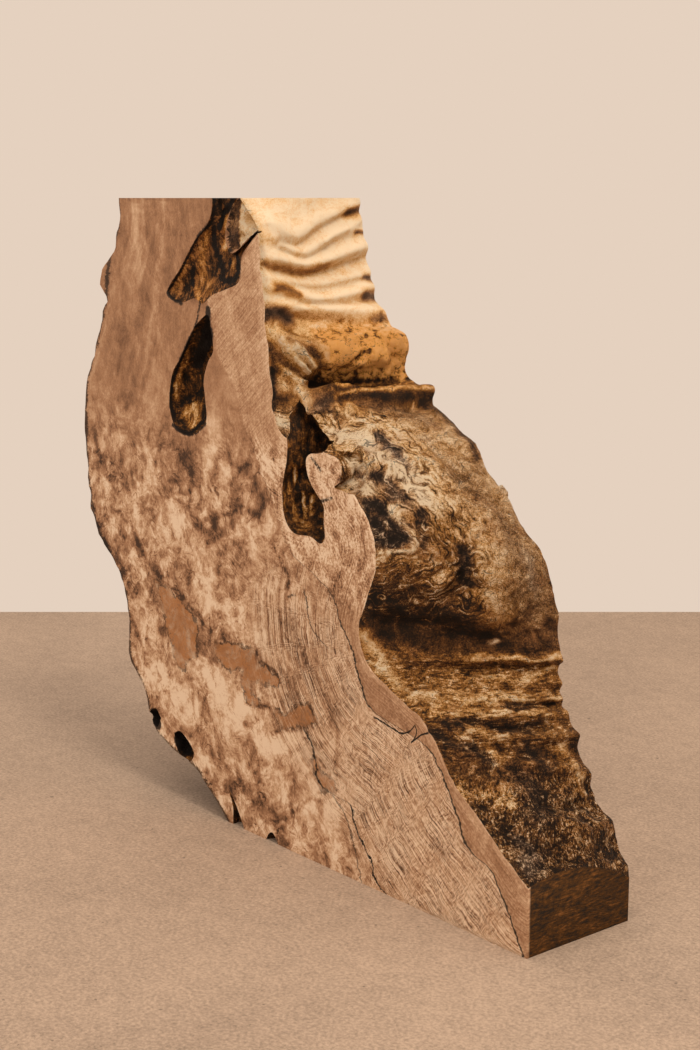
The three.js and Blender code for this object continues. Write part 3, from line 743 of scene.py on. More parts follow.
def left_side(row_step, layers, fine):
    """Rows of the left side, and the rise of its relief at each point."""
    rows = base_rows(LEFT_STATIONS, row_step, layers)
    y, z = rows[..., 1], rows[..., 2]
    detail = lumps(rows * LEFT_STRETCH, LEFT_FINE_LUMPS)
    rise = (relief(y, z, LEFT_RELIEF) + lumps(rows, LEFT_LUMPS) + fine * detail) * face_share(y)
    rim = relief(y, z, LEFT_RIM) + lumps(rows, RIM_LUMPS) * smoothstep(z, *RIM_FOOT)
    rise = rise + fine * rim * smoothstep(y, RIM_REACH, 0)
    return raised_rows(rows, rise, row_step), rise


# Mesh


def grid_inside(loop, step):
    """Points of a staggered grid that lie well inside a closed outline of (x, z)."""
    low, high = loop.min(0), loop.max(0)
    xs = np.arange(low[0], high[0], step)
    zs = np.arange(low[1], high[1], step * GRID_ROW_SHARE)
    x, z = np.meshgrid(xs, zs)
    x = x + (np.arange(len(zs)) % 2)[:, None] * step / 2
    x, z = x.ravel(), z.ravel()
    inside = inside_outline(x, z, loop)
    coarse = loop[:: max(1, len(loop) // GRID_RIM_POINTS)]
    distance, _ = nearest_on_line(x, z, np.vstack([coarse, coarse[:1]]))
    keep = inside & (distance > step * GRID_GAP_SHARE)
    return np.stack([x[keep], z[keep]], axis=1)


def face_triangles(loop, step):
    """Inner points of a flat face and its triangles, which number the outline's points first."""
    inner = grid_inside(loop, step)
    points = [Vector(p) for p in np.vstack([loop, inner])]
    found = geometry.delaunay_2d_cdt(points, [], [list(range(len(loop)))], 1, 1e-6)
    verts, _, faces = found[:3]
    if len(verts) != len(points):
        raise RuntimeError("the face's outline crosses itself")
    return inner, np.array(faces)


def slab_mesh(right, left, face_step, back_step):
    """One closed mesh through the loops of all layers, with flat sawn faces in front and behind."""
    layers = right.shape[1]
    v = np.linspace(0, 1, layers)
    foot = np.stack([END_SKEW * v, v * THICKNESS, 0 * v], axis=1)[None]
    loops = np.concatenate([foot, right, left])
    count = len(loops)
    verts = loops.transpose(1, 0, 2).reshape(-1, 3)
    i = np.arange(count)
    sides = []
    for j in range(layers - 1):
        low, high = j * count, (j + 1) * count
        after = (i + 1) % count
        sides.append(np.stack([low + i, high + i, high + after, low + after], axis=1))
    faces = np.concatenate(sides).tolist()
    for layer, depth, step in ((0, 0.0, face_step), (layers - 1, THICKNESS, back_step)):
        inner, triangles = face_triangles(loops[:, layer][:, [0, 2]], step)
        start = len(verts)
        numbers = np.concatenate([layer * count + i, start + np.arange(len(inner))])
        flat = np.stack([inner[:, 0], np.full(len(inner), depth), inner[:, 1]], axis=1)
        verts = np.vstack([verts, flat])
        corners = numbers[triangles]
        a, b, c = (verts[corners[:, k]] for k in range(3))
        outward = np.cross(b - a, c - a)[:, 1] * (1 if depth else -1) > 0
        corners[~outward] = corners[~outward][:, ::-1]
        faces += corners.tolist()
    return verts, faces


def cavity_mesh(depth, outline, roughness):
    """A rough bowl under an outline on the front sawn face, with a short lead in front of the face."""
    closed = np.asarray(list(outline) + [outline[0]], float)
    rim = spline(closed, np.linspace(0, len(outline), RIM_POINTS))[:-1]
    along = np.r_[0, np.cumsum(np.linalg.norm(np.diff(rim, axis=0), axis=1))]
    count = max(LEAST_SIDES, int(along[-1] / BOWL_STEP))
    places = np.linspace(0, along[-1], count, endpoint=False)
    rim = np.stack([np.interp(places, along, rim[:, k]) for k in range(2)], axis=1)
    area = np.sum(rim[:, 0] * np.roll(rim[:, 1], -1) - rim[:, 1] * np.roll(rim[:, 0], -1))
    if area < 0:
        rim = rim[::-1]
    middle = rim.mean(0)
    slant = math.hypot(depth, np.ptp(rim, axis=0).min() / 2)
    rings = max(LEAST_RINGS, int(slant / BOWL_STEP))
    turns = np.linspace(0, BOWL_TURN, rings + 1)
    shares = np.r_[1, np.cos(turns)]
    depths = np.r_[-CUT_LEAD, depth * np.sin(turns)]
    xz = middle + shares[:, None, None] * (rim - middle)
    y = np.broadcast_to(depths[:, None, None], xz.shape[:2] + (1,))
    points = np.concatenate([xz[..., :1], y, xz[..., 1:]], axis=-1)
    inward = np.clip(depths, 0, BOWL_CALM_RIM)[:, None] / BOWL_CALM_RIM * roughness
    points[..., 0] += inward * lumps(points + BOWL_PLACES[0], BOWL_LUMPS)
    points[..., 2] += inward * lumps(points + BOWL_PLACES[2], BOWL_LUMPS)
    points[..., 1] += inward * lumps(points * BOWL_FLOOR_STRETCH + BOWL_PLACES[1], BOWL_FLOOR_LUMPS)
    total = len(points)
    verts = np.vstack([points.reshape(-1, 3), points[0].mean(0), points[-1].mean(0)])
    i = np.arange(count)
    after = (i + 1) % count
    faces = []
    for k in range(total - 1):
        low, high = k * count, (k + 1) * count
        faces += np.stack([low + i, high + i, high + after, low + after], axis=1).tolist()
    front, bottom, last = total * count, total * count + 1, (total - 1) * count
    faces += np.stack([i, after, np.full(count, front)], axis=1).tolist()
    faces += np.stack([last + after, last + i, np.full(count, bottom)], axis=1).tolist()
    return verts, faces


def new_mesh(name, verts, faces):
    """A mesh in metres in the frame, from points in millimetres from the foot's corner."""
    mesh = bpy.data.meshes.new(name)
    mesh.from_pydata((np.asarray(verts) * MM + np.array(FOOT)).tolist(), [], faces)
    mesh.validate()
    return mesh


def mesh_points(mesh):
    """A mesh's points in millimetres from the foot's corner."""
    flat = np.empty(len(mesh.vertices) * 3, np.float32)
    mesh.vertices.foreach_get("co", flat)
    return (flat.reshape(-1, 3).astype(float) - np.array(FOOT)) / MM


def cut(mesh, cutters):
    """The mesh with every cutter taken out of it."""
    body = bpy.data.objects.new("uncut", mesh)
    bpy.context.scene.collection.objects.link(body)
    tools = []
    for name, cutter in cutters.items():
        tool = bpy.data.objects.new(name, cutter)
        bpy.context.scene.collection.objects.link(tool)
        tools.append(tool)
        modifier = body.modifiers.new(name, "BOOLEAN")
        modifier.operation = "DIFFERENCE"
        modifier.solver = "MANIFOLD"
        modifier.object = tool
    graph = bpy.context.evaluated_depsgraph_get()
    result = bpy.data.meshes.new_from_object(body.evaluated_get(graph))
    for obj in [body, *tools]:
        bpy.data.objects.remove(obj)
    return result


def inside_outline(x, z, line):
    """Which points lie inside a closed line."""
    inside = np.zeros(x.shape, bool)
    for (x0, z0), (x1, z1) in zip(line, np.roll(line, -1, axis=0)):
        if z0 != z1:
            inside ^= ((z0 > z) != (z1 > z)) & (x < x0 + (z - z0) / (z1 - z0) * (x1 - x0))
    return inside


def signed_distance(x, z, outline):
    """The distance to a closed outline, negative inside it."""
    line = smooth_line(list(outline) + [outline[0]], 3)
    distance, _ = nearest_on_line(x, z, line)
    return np.where(inside_outline(x, z, line), -distance, distance)


def laid(values, strokes, u, v):
    """Values with strokes laid over them, each a (value, width, line) in the plane of u and v."""
    for value, width, line in strokes:
        distance, _ = nearest_on_line(u, v, smooth_line(line))
        share = np.exp(-((distance / width) ** 2))
        values = values + (value - values) * share
    return values


def vein_depth(x, z):
    """How dark the nearest vein of the sawn figure is."""
    depths = []
    for depth, width, line in VEINS:
        distance, _ = nearest_on_line(x, z, smooth_line(line))
        depths.append(depth * np.exp(-((distance / width) ** 2)))
    return np.max(depths, axis=0)


def store(mesh, name, values):
    """A number for each point of the mesh, which a material reads by name."""
    layer = mesh.attributes.new(name, "FLOAT", "POINT")
    layer.data.foreach_set("value", np.asarray(values, np.float32))


def store_natural(mesh, points, raised):
    """The natural sides' fields: the relief's rise, how far they face down, the tone and the greyness."""
    places = np.concatenate([rows.reshape(-1, 3) for rows, _ in raised])
    rises = np.concatenate([rise.ravel() for _, rise in raised])
    tree = kdtree.KDTree(len(places))
    for i, place in enumerate(places):
        tree.insert(place, i)
    tree.balance()
    store(mesh, "rise", rises[[tree.find(p)[1] for p in points]])
    normals = np.empty(len(points) * 3, np.float32)
    mesh.vertex_normals.foreach_get("vector", normals)
    # How far each point faces down, which the natural wood darkens as painted shade
    store(mesh, "under", smoothstep(normals[2::3], *FACING_DOWN))
    wander = [lumps(points + place, NATURAL_WANDER) for place in STROKE_PLACES]
    x, y, z = points.T
    right = x > RIGHT_FROM
    steady = 1 - STEADY_SHARE * smoothstep(z, *STEADY_FOOT)
    tone = np.interp(z, *np.transpose(NATURAL_TONES))
    strokes = NATURAL_STROKES.values()
    u, v = y + wander[0] * steady, z + wander[1] * steady
    tone = laid(tone, [(tone, width, line) for tone, _, width, line in strokes], u, v)
    grey = laid(0 * z, [(grey, width, line) for _, grey, width, line in strokes], u, v)
    store(mesh, "tone", np.where(right, tone, LEFT_TONE))
    store(mesh, "grey", np.where(right, grey, LEFT_GREY))
    beside, along = nearest_on_line(u, v, smooth_line(BURL_FLOW))
    store(mesh, "beside", beside)
    store(mesh, "along", along)


def store_sawn(mesh, points):
    """The sawn faces' fields: the figure's tone, the stains, the soot and the distances from both edges."""
    x, y, z = points.T
    drift = y / THICKNESS
    sx, sz = x + FIGURE_SHIFT_X * drift, z + FIGURE_SHIFT_Z * drift
    wander = [lumps(points + place, FIGURE_WANDER) for place in STROKE_PLACES]
    tone = np.interp(sz, *np.transpose(SAWN_TONES))
    store(mesh, "figure", laid(tone, SAWN_STROKES.values(), sx + wander[0], sz + wander[1]))
    wander = [lumps(points + place, VEIN_WANDER) for place in VEIN_PLACES]
    store(mesh, "vein", vein_depth(sx + wander[0], sz + wander[1]))
    store(mesh, "stain", np.min([signed_distance(sx, sz, s) for s in STAINS], axis=0))
    seen = x + SIGHT_SLOPE * y
    soot = np.min([nearest_on_line(seen, z, smooth_line(line))[0] - width for width, line in SOOT], axis=0)
    store(mesh, "soot", np.where(y < SOOT_REACH, soot, NO_SOOT))
    store(mesh, "bark", laid(BARK_TONE + 0 * z, BARK_STROKES.values(), seen, z))
    heights = {}
    for side, stations in (("right", RIGHT_STATIONS), ("left", LEFT_STATIONS)):
        ends = np.asarray(stations, float)
        front, heights[side] = nearest_on_line(x, z, smooth_line(ends[:, 0], 4))
        back, _ = nearest_on_line(x, z, smooth_line(ends[:, 2], 4))
        store(mesh, "from_" + side, front + (back - front) * drift)
    store(mesh, "height_right", heights["right"])


# Shader expressions


def linear(red, green, blue):
    """A colour's light from its usual 0 to 255 values."""
    channels = (c / 255 for c in (red, green, blue))
    return tuple(c / 12.92 if c <= 0.04045 else ((c + 0.055) / 1.055) ** 2.4 for c in channels)


class Field:
    """A shader socket that Python's operators add nodes to."""

    def __init__(self, tree, socket):
        self.tree = tree
        self.socket = socket

    def node(self, kind, settings=None, sockets=None, out=0):
        """Adds a node: its type, its settings, then the values or links of its sockets."""
        made = self.tree.nodes.new(kind)
        for name, value in (settings or {}).items():
            setattr(made, name, value)
        for key, value in (sockets or {}).items():
            if isinstance(value, Field):
                self.tree.links.new(value.socket, made.inputs[key])
            elif made.inputs[key].type == "RGBA":
                made.inputs[key].default_value = (*value, 1)
            else:
                made.inputs[key].default_value = value
        return Field(self.tree, made.outputs[out])

    def maths(self, operation, *values):
        """A Math node, or a Vector Math one where this is a vector."""
        vector = self.socket.type == "VECTOR"
        kind = "ShaderNodeVectorMath" if vector else "ShaderNodeMath"
        if vector:
            values = [v if isinstance(v, (Field, tuple)) else (v, v, v) for v in values]
        return self.node(kind, {"operation": operation}, dict(enumerate([self, *values])))

    def __add__(self, other):
        return self.maths("ADD", other)

    __radd__ = __add__

    def __sub__(self, other):
        return self.maths("SUBTRACT", other)

    def __rsub__(self, other):
        return self * -1 + other

    def __mul__(self, other):
        return self.maths("MULTIPLY", other)

    __rmul__ = __mul__

    def __abs__(self):
        return self.maths("ABSOLUTE")

    def most(self, other):
        """The larger of two values."""
        return self.maths("MAXIMUM", other)

    def slope(self, low, high):
        """0 at low, 1 at high and an even rise between them, either way round."""
        return self.node("ShaderNodeMapRange", {}, {"Value": self, "From Min": low, "From Max": high})

    def step(self, low, high):
        """0 at low, 1 at high and a soft rise between them, either way round."""
        sockets = {"Value": self, "From Min": low, "From Max": high}
        return self.node("ShaderNodeMapRange", {"interpolation_type": "SMOOTHSTEP"}, sockets)

    def axes(self):
        """A vector's three numbers."""
        split = self.node("ShaderNodeSeparateXYZ", sockets={0: self}).socket.node
        return [Field(self.tree, socket) for socket in split.outputs]

    def vector(self, x, y, z):
        """A vector of three numbers."""
        return self.node("ShaderNodeCombineXYZ", sockets={0: x, 1: y, 2: z})

    def noise(self, scale, detail=3.0, rough=0.55):
        """Soft noise about 0, from -0.5 to 0.5, at this place."""
        sockets = {"Vector": self, "Scale": scale, "Detail": detail, "Roughness": rough}
        return self.node("ShaderNodeTexNoise", {"noise_dimensions": "3D"}, sockets) - 0.5

    def cells(self, scale):
        """A number about 0 for each of many small cells with crisp edges."""
        return self.node("ShaderNodeTexVoronoi", {}, {"Vector": self, "Scale": scale}, out=1) - 0.5

    def drift(self, scale, reach):
        """This place moved about by slow noise, as far as reach."""
        sockets = {"Vector": self, "Scale": scale, "Detail": 2.0}
        turn = self.node("ShaderNodeTexNoise", {"noise_dimensions": "3D"}, sockets, out=1)
        centred = self.node("ShaderNodeVectorMath", {"operation": "SUBTRACT"}, {0: turn, 1: (0.5, 0.5, 0.5)})
        return self + centred * reach

    def curve(self, points, low, high):
        """A curve over this number, given as points of (input, output), with the output's limits."""
        first, last = points[0][0], points[-1][0]
        share = self.slope(first, last)
        made = share.node("ShaderNodeFloatCurve", {}, {"Value": share}).socket.node
        line = made.mapping.curves[0]
        for i, (value, result) in enumerate(points):
            place = ((value - first) / (last - first), (result - low) / (high - low))
            if i in (0, len(points) - 1):
                line.points[0 if i == 0 else -1].location = place
            else:
                line.points.new(*place)
        made.mapping.update()
        return Field(self.tree, made.outputs[0]) * (high - low) + low

    def ramp(self, tones):
        """Colours spread evenly over this number, from 0 to 1."""
        colour, gap = self.colour(tones[0]), 1 / (len(tones) - 1)
        for i, tone in enumerate(tones[1:]):
            colour = colour.mix(self.colour(tone), self.slope(i * gap, (i + 1) * gap))
        return colour

    def colour(self, value):
        """A plain colour as a field."""
        made = self.tree.nodes.new("ShaderNodeRGB")
        made.outputs[0].default_value = (*value, 1)
        return Field(self.tree, made.outputs[0])

    def mix(self, other, share):
        """This colour with a share of another over it."""
        return self.node("ShaderNodeMix", {"data_type": "RGBA"}, {0: share, 6: self, 7: other}, out=2)


class Wood(Field):
    """A material's tree, with the place on the slab in millimetres as its first field."""

    def __init__(self, name):
        self.material = bpy.data.materials.new(name)
        self.material.use_nodes = True
        tree = self.material.node_tree
        self.shader = tree.nodes["Principled BSDF"]
        place = tree.nodes.new("ShaderNodeTexCoord").outputs["Object"]
        super().__init__(tree, place)
        offset = {0: Field(tree, place), 1: FOOT}
        self.place = self.node("ShaderNodeVectorMath", {"operation": "SUBTRACT"}, offset) * (1 / MM)

    def read(self, name):
        """A field stored on the mesh."""
        return self.node("ShaderNodeAttribute", {"attribute_name": name}, out=2)

    def finish(self, colour, roughness, height, depth, strength):
        """Joins the colour, the roughness and the bump's height to the shader."""
        sockets = {"Height": height, "Distance": depth * MM, "Strength": strength}
        bump = self.node("ShaderNodeBump", {}, sockets)
        for name, field in (("Base Color", colour), ("Roughness", roughness), ("Normal", bump)):
            self.tree.links.new(field.socket, self.shader.inputs[name])
        self.shader.inputs["Specular IOR Level"].default_value = SHEEN
        return self.material


def over_height(line):
    """A dark line's points as (z, x), from its foot to its top."""
    return [(z, x) for x, z in line]


def ink(distance, width):
    """1 on a thin line and 0 away from it."""
    return 1 - abs(distance).step(width * 0.5, width * 1.2)


def decay_lines(flat, x, z, heart):
    """The dark lines of the decay: the one round the heart, at its distance, and the thinner ones."""
    lines = ink(heart, 0.9) * z.step(*HEART_BELOW) * 0.95
    kink = flat.noise(0.13, 5, 0.75) * 14
    for width, strength, kinks, start, stop, limits, line in RISING_LINES.values():
        distance = x - z.curve(over_height(line), *limits) + kink * kinks
        lines = lines.most(ink(distance, width) * z.step(*start) * z.step(*stop) * strength)
    for width, strength, kinks, start, stop, limits, line in LEVEL_LINES.values():
        distance = z - x.curve(line, *limits) + kink * kinks
        lines = lines.most(ink(distance, width) * x.step(*start) * x.step(*stop) * strength)
    return lines


def foot_end(wood, tones, y, height, streaks):
    """The colour of the foot's sawn end: dark bands across the slab's edge, with streaks."""
    bands = wood.vector(0, y * 0.14, height).drift(0.09, 9).noise(0.6, 4, 0.75)
    return ((bands + streaks) * 1.9 + 0.36).ramp((tones.black, tones.olive, tones.brown))


def sawn_wood(tones):
    """The sawn faces: pale and tan figure, growth rings, stains, dark decay lines and saw marks."""
    wood = Wood("sawn_maple")
    ramp = (tones.vein, tones.umber, tones.tan, tones.pale, tones.bleached)
    x, y, z = wood.place.axes()
    deep = y * (1 / THICKNESS)
    x, z = x + deep * FIGURE_SHIFT_X, z + deep * FIGURE_SHIFT_Z
    flat = wood.vector(x, y * 0.4, z)
    leaning = wood.vector(x + z * GRAIN_LEAN, y * 0.4, z * 0.42)
    cloud = flat.drift(0.018, 60).drift(0.07, 18).noise(0.045, 5, 0.62)
    smoke = leaning.drift(0.03, 34).drift(0.1, 9).noise(0.07, 5, 0.6)
    curl = flat.drift(0.03, 34).drift(0.12, 9).noise(0.11, 5, 0.64)
    fleck = flat.noise(0.6, 4, 0.7)
    pores = flat.noise(1.7, 2, 0.6)
    zone = flat.drift(0.02, 44).drift(0.1, 11).noise(0.028, 3, 0.5)
    broken = flat.noise(0.09, 4, 0.65).step(-0.06, 0.08)
    vein = (ink(zone * 100, 0.8) + ink((zone - 0.07) * 100, 0.6)) * broken
    from_left, from_right = wood.read("from_left"), wood.read("from_right")
    height_right = wood.read("height_right")
    wobble = flat.noise(0.07, 3) * 10
    left_rings = wood.vector(from_left + wobble, 0, z * 0.06).noise(0.12, 4, 0.6)
    right_rings = wood.vector(from_right + wobble * 0.3, 0, z * 0.05).noise(1.0, 3, 0.65)
    grain = wood.vector(from_right + wobble * 0.6, 0, height_right * 0.03).noise(2.2, 2, 0.65)
    rays = wood.vector(height_right + wobble * 0.5, 0, from_right * 0.12).noise(1.7, 2, 0.65)
    hatch = (grain * 2.8 + rays * 1.4) * (flat.noise(0.05, 3).step(-0.14, 0.12) * 0.5 + 0.6)
    along = x * math.cos(SAW_ANGLE) + z * math.sin(SAW_ANGLE)
    across = z * math.cos(SAW_ANGLE) - x * math.sin(SAW_ANGLE)
    saw = wood.vector(across, 0, along * 0.04).noise(1.0, 3, 0.7) * z.step(*SAW_MARKS_ABOVE)

    heart = x - z.curve(over_height(HEART_LINE), *HEART_SPAN) + flat.noise(0.16, 4, 0.7) * 9
    sap = heart.step(-1.2, 1.2)
    hatched = z.step(*HATCHED_BELOW) * from_right.step(*HATCHED_WITHIN)
    upper = z.step(*RINGED_ABOVE) * from_left.step(*RINGED_WITHIN)
    low = z.step(*SPALTED_BELOW)
    curls = (zone * 190).maths("SINE") * broken * low * (1 - hatched)
    calm = 1 - hatched * 0.7
    lightness = wood.read("figure") + smoke * (low * 0.4 + 0.35) * calm + left_rings * upper * 0.7
    lightness = lightness + (cloud * 1.4 + curl * 1.5) * calm * (low * 0.95 + 0.3)
    lightness = lightness + fleck * (low * 0.4 + 0.4) + curls * 0.08
    lightness = lightness - vein * low * (1 - hatched) * 0.3 - wood.read("vein") * (broken * 0.6 + 0.5)
    lightness = lightness + hatch * (hatched * 1.3 + 0.1) + hatched * 0.08
    spalted = lightness.ramp(ramp)
    neck = z.step(*NECK_ABOVE) * z.step(*NECK_BELOW)
    ringed = right_rings * (0.9 + neck * 0.4 - z.step(*EVEN_ABOVE) * 0.7) + saw * 0.8
    ringed = ringed + fleck * (neck * 1.2 + 0.9) + (smoke + curl) * (neck * 1.3 + 0.5)
    base = neck * 0.1 + z.step(*LIGHT_ABOVE) * 0.12 + z.step(*LIGHT_BELOW) * 0.06 + 0.48
    # Painted highlight: lighter along the front face's right edge
    edge_highlight = from_right.step(*HIGHLIGHT_WITHIN) * 0.08 + from_right.step(*HIGHLIGHT_EDGE_WITHIN) * 0.12
    colour = spalted.mix((ringed + base + edge_highlight).ramp(ramp), sap)

    edge = wood.read("stain") + flat.noise(0.14, 5, 0.7) * 17
    stained = wood.colour(tones.stain).mix(wood.colour(tones.umber), (curl + fleck).step(-0.1, 0.2) * 0.75)
    colour = colour.mix(stained, edge.step(1.5, -2.5) * (broken * 0.3 + 0.6))
    lines = decay_lines(flat, x, z, heart).most(ink(edge, 1.2) * (broken * 0.5 + 0.2))
    rim = (from_left + fleck * 7 + curl * 9).step(3.0, 0.9)
    soot = (wood.read("soot") + fleck * 3.0 + curl * 3.0).step(0.7, -0.7)
    colour = colour.mix(wood.colour(tones.line), lines.most(rim * 0.8).most(soot * 0.95))
    end = x.step(*END_BEYOND) * deep.step(*END_BEHIND)
    colour = colour.mix(foot_end(wood, tones, y, z - deep * FIGURE_SHIFT_Z, curl * 0.5 + fleck), end)
    colour = colour.mix(wood.colour(tones.vein), (pores + fleck * 0.5).step(0.14, 0.3) * 0.3)
    height = saw * 0.6 + hatch * hatched * 0.5 + fleck * 0.5 + pores * 0.4 - lines * 0.3
    return wood.finish(colour, 0.62 + fleck * 0.3, height, 0.9, 0.6)


def natural_ramp(tones):
    """The natural wood's colours from black to bleached."""
    return tones.black, tones.dark, tones.brown, tones.gold, tones.cream, tones.white


def natural_zones(x, y, z, marble):
    """How far a place is in the left side, fans, foot, dome, its stippled part, block and ripples."""
    left = x.step(*LEFT_BEYOND)
    right = 1 - left
    fans = (z + marble * 40).step(*FANS_BELOW) * right
    foot = (z + marble * 60).step(*FOOT_BELOW) * fans
    dome = (z + marble * 40).step(*DOME_ABOVE) * (z + marble * 14).step(*DOME_BELOW) * right
    stippled = dome * (y + marble * 40).step(*STIPPLE_BEHIND)
    block = (z + marble * 14).step(*BLOCK_ABOVE) * (z + marble * 20).step(*BLOCK_BELOW)
    block = block * right * y.step(*BLOCK_BEHIND)
    ripples = (z + marble * 30).step(*RIPPLES_ABOVE) * right * y.step(*RIPPLES_BEHIND)
    return left, fans, foot, dome, stippled, block, ripples


def natural_wood(tones):
    """The debarked sides: cream ripples, gold lumps, and the dark burl with its crusts and gold ridges."""
    wood = Wood("natural_maple")
    x, y, z = wood.place.axes()
    place = wood.place
    rise, under = wood.read("rise"), wood.read("under")
    swirl = place.drift(0.035, 26).drift(0.12, 9)
    marble = swirl.noise(0.12, 7, 0.68)
    curd = place.noise(0.22, 4, 0.62)
    crust = place.drift(0.12, 5)
    flake = crust.cells(0.3) * 0.35 + crust.cells(0.7) * 0.4 + crust.cells(1.5) * 0.45
    beside = wood.read("beside") + place.noise(0.05, 2, 0.5) * 30
    flow = wood.vector(beside, wood.read("along") * 0.1, x * 0.15).noise(0.5, 5, 0.74)
    rings = (beside * 1.5 + flow * 6 + marble * 4).maths("SINE")
    grit = place.noise(1.1, 4, 0.75)
    speck = place.noise(2.2, 3, 0.7)
    thread = wood.vector(x * 0.4, y * 0.25, z * 1.8).drift(0.12, 4).noise(0.5, 5, 0.74)
    grain = wood.vector(x, y, z * 0.3).drift(0.08, 8).noise(0.25, 4, 0.7)
    fibre = wood.vector(x * 1.4, y * 1.4, z * 0.4).drift(0.1, 6).noise(0.55, 5, 0.74)
    left, fans, foot, dome, stippled, block, ripples = natural_zones(x, y, z, marble)
    rough = 1 - ripples * 0.45
    # Painted light and shade from the form: lighter on the relief's ridges, darker in its furrows, and
    # painted shade where surfaces face down
    lightness = wood.read("tone") + rise * 0.02 - under * 0.12 + (marble * 1.4 + grit * 1.4) * rough
    lay = (flow + rings * 0.04) * (dome - stippled * 0.75)
    lay = lay + thread * (fans - foot) * 0.8 + fibre * foot * 1.2
    lightness = lightness + lay * 1.8 + grain * left * 1.6 + curd * block * 3.0
    lightness = lightness + speck * (dome + stippled * 2.2 + fans * 0.8) + flake * (dome + fans + 0.2) * 0.4
    pits = (speck + grit * 0.8).step(0.1, 0.2) * rough
    flakes = (lay + marble * 0.6 + speck * 0.6).step(0.12, 0.16) * rough
    # Crevices drawn by noise: the bump sinks them and the lightness below darkens them as painted shade
    crevices = (lay + speck * 0.5 + marble * 0.3).step(-0.07, -0.11) * (1 - ripples)
    pits = pits * (stippled * 0.4 - block * 0.16 + 0.26)
    lit = flakes * lightness.step(0.1, 0.4) * 0.34
    lightness = lightness + lit - pits - crevices * (0.24 - block * 0.1) + marble * foot
    warm = lightness.ramp(natural_ramp(tones))
    cool = lightness.ramp((tones.black, tones.slate, tones.ash, tones.white))
    colour = warm.mix(cool, wood.read("grey") + marble * 0.4 + flake * 0.15)
    rust = (place.drift(0.05, 20).noise(0.05, 4, 0.6) + grit * 0.3).step(0.02, 0.16) * (1 - ripples)
    colour = colour.mix(wood.colour(tones.stain), rust * lightness.step(0.1, 0.5) * 0.4)
    golds = (tones.black, tones.dark, tones.brown, tones.gold, tones.ochre, tones.ochre)
    colour = colour.mix((lightness + 0.12).ramp(golds), block * 0.9)
    crack = ink(swirl.noise(0.05, 3, 0.6) * 100, 0.8) * marble.step(-0.02, 0.06) * (1 - ripples)
    colour = colour.mix(wood.colour(tones.line), crack * 0.7)
    height = grit * 0.9 + lay * 1.1 + speck * 0.4 + marble * 0.5 - crevices * 0.3 + curd * block * 2.6
    return wood.finish(colour, 0.58 + grit * 0.4, (height - crack * 0.4) * rough, 2.2, 0.9)


def pocket_wood(tones):
    """The cavities' insides: bark-black with brown fingers, ribs and ridges."""
    wood = Wood("bark_pocket")
    x, y, z = wood.place.axes()
    ridge = wood.place.drift(0.07, 12).noise(0.2, 5, 0.66)
    fine = wood.place.noise(1.0, 4, 0.7)
    ribs = wood.vector(x * 1.2, y * 0.9, z * 0.2).drift(0.06, 9).noise(0.35, 4, 0.68)
    upper = z.step(*UPPER_POCKET_ABOVE)
    lightness = wood.read("bark") + ridge * 1.3 + fine * 1.0 + ribs * (1.5 - upper * 0.4)
    colour = lightness.ramp(natural_ramp(tones))
    colour = colour.mix(wood.colour(tones.stain), upper * (ribs + ridge).step(-0.05, 0.2) * 0.45)
    soot = (wood.read("soot") + fine * 3 + ridge * 4).step(0.8, -0.8)
    colour = colour.mix(wood.colour(tones.line), soot)
    return wood.finish(colour, 0.7 + fine * 0.3, ridge + fine * 0.7 + ribs * 0.8, 1.8, 0.8)


# Settings


def tone(name, description, red, green, blue):
    """A colour that a user can change."""
    return bpy.props.FloatVectorProperty(
        name=name,
        description=description,
        subtype="COLOR",
        size=3,
        min=0,
        max=1,
        default=linear(red, green, blue),
    )


def length(name, description, millimetres):
    """A length that a user can change."""
    return bpy.props.FloatProperty(
        name=name, description=description, default=millimetres * MM, unit="LENGTH"
    )


def share(name, description, default):
    """A share that a user can change."""
    return bpy.props.FloatProperty(name=name, description=description, default=default, subtype="FACTOR")


def power(name, description, watts):
    """A light's power that a user can change."""
    return bpy.props.FloatProperty(name=name, description=description, default=watts, unit="POWER")


class BurlTones(bpy.types.PropertyGroup):
    """The wood's colours."""

    vein: tone("Vein", "Darkest sawn figure", 70, 48, 34)
    umber: tone("Umber", "Dark sawn figure", 126, 90, 64)
    tan: tone("Tan", "Middle sawn figure", 173, 131, 98)
    pale: tone("Pale", "Light sawn figure", 212, 177, 144)
    bleached: tone("Bleached", "Lightest sawn figure", 237, 213, 186)
    stain: tone("Stain", "Orange-brown patches of decay", 174, 119, 73)
    line: tone("Dark line", "Decay lines, soot and bark", 24, 17, 13)
    black: tone("Black", "Deepest hollows of the natural side", 28, 18, 8)
    dark: tone("Dark", "Shaded natural wood", 70, 43, 18)
    brown: tone("Brown", "Middle natural wood", 128, 81, 36)
    gold: tone("Gold", "Ridges and lumps of the natural side", 194, 134, 62)
    ochre: tone("Ochre", "The lumpy block above the lip", 244, 176, 92)
    cream: tone("Cream", "Ripples at the top", 240, 198, 140)
    white: tone("White", "Bleached crusts", 251, 231, 200)
    slate: tone("Slate", "Weathered dark wood", 92, 80, 72)
    ash: tone("Ash", "Weathered light wood", 176, 156, 138)
    olive: tone("Olive", "The foot's sawn end", 76, 46, 8)


class BurlForm(bpy.types.PropertyGroup):
    """The sizes that the wood's surface is made with."""

    row_step: length("Row step", "Distance between rows of points on the right side", 1.25)
    left_step: length("Left row step", "Distance between rows of points on the left side", 3.6)
    layers: bpy.props.IntProperty(
        name="Layers", description="Points through the slab's thickness", default=76
    )
    face_step: length("Face step", "Distance between points on the front sawn face", 2.0)
    back_step: length("Back step", "Distance between points on the back sawn face", 6)
    fine: share("Fine relief", "How strong the relief is that is finer than the solid's", 1.0)
    pocket_roughness: share("Pocket roughness", "How rough the cavities' walls are", 1.0)


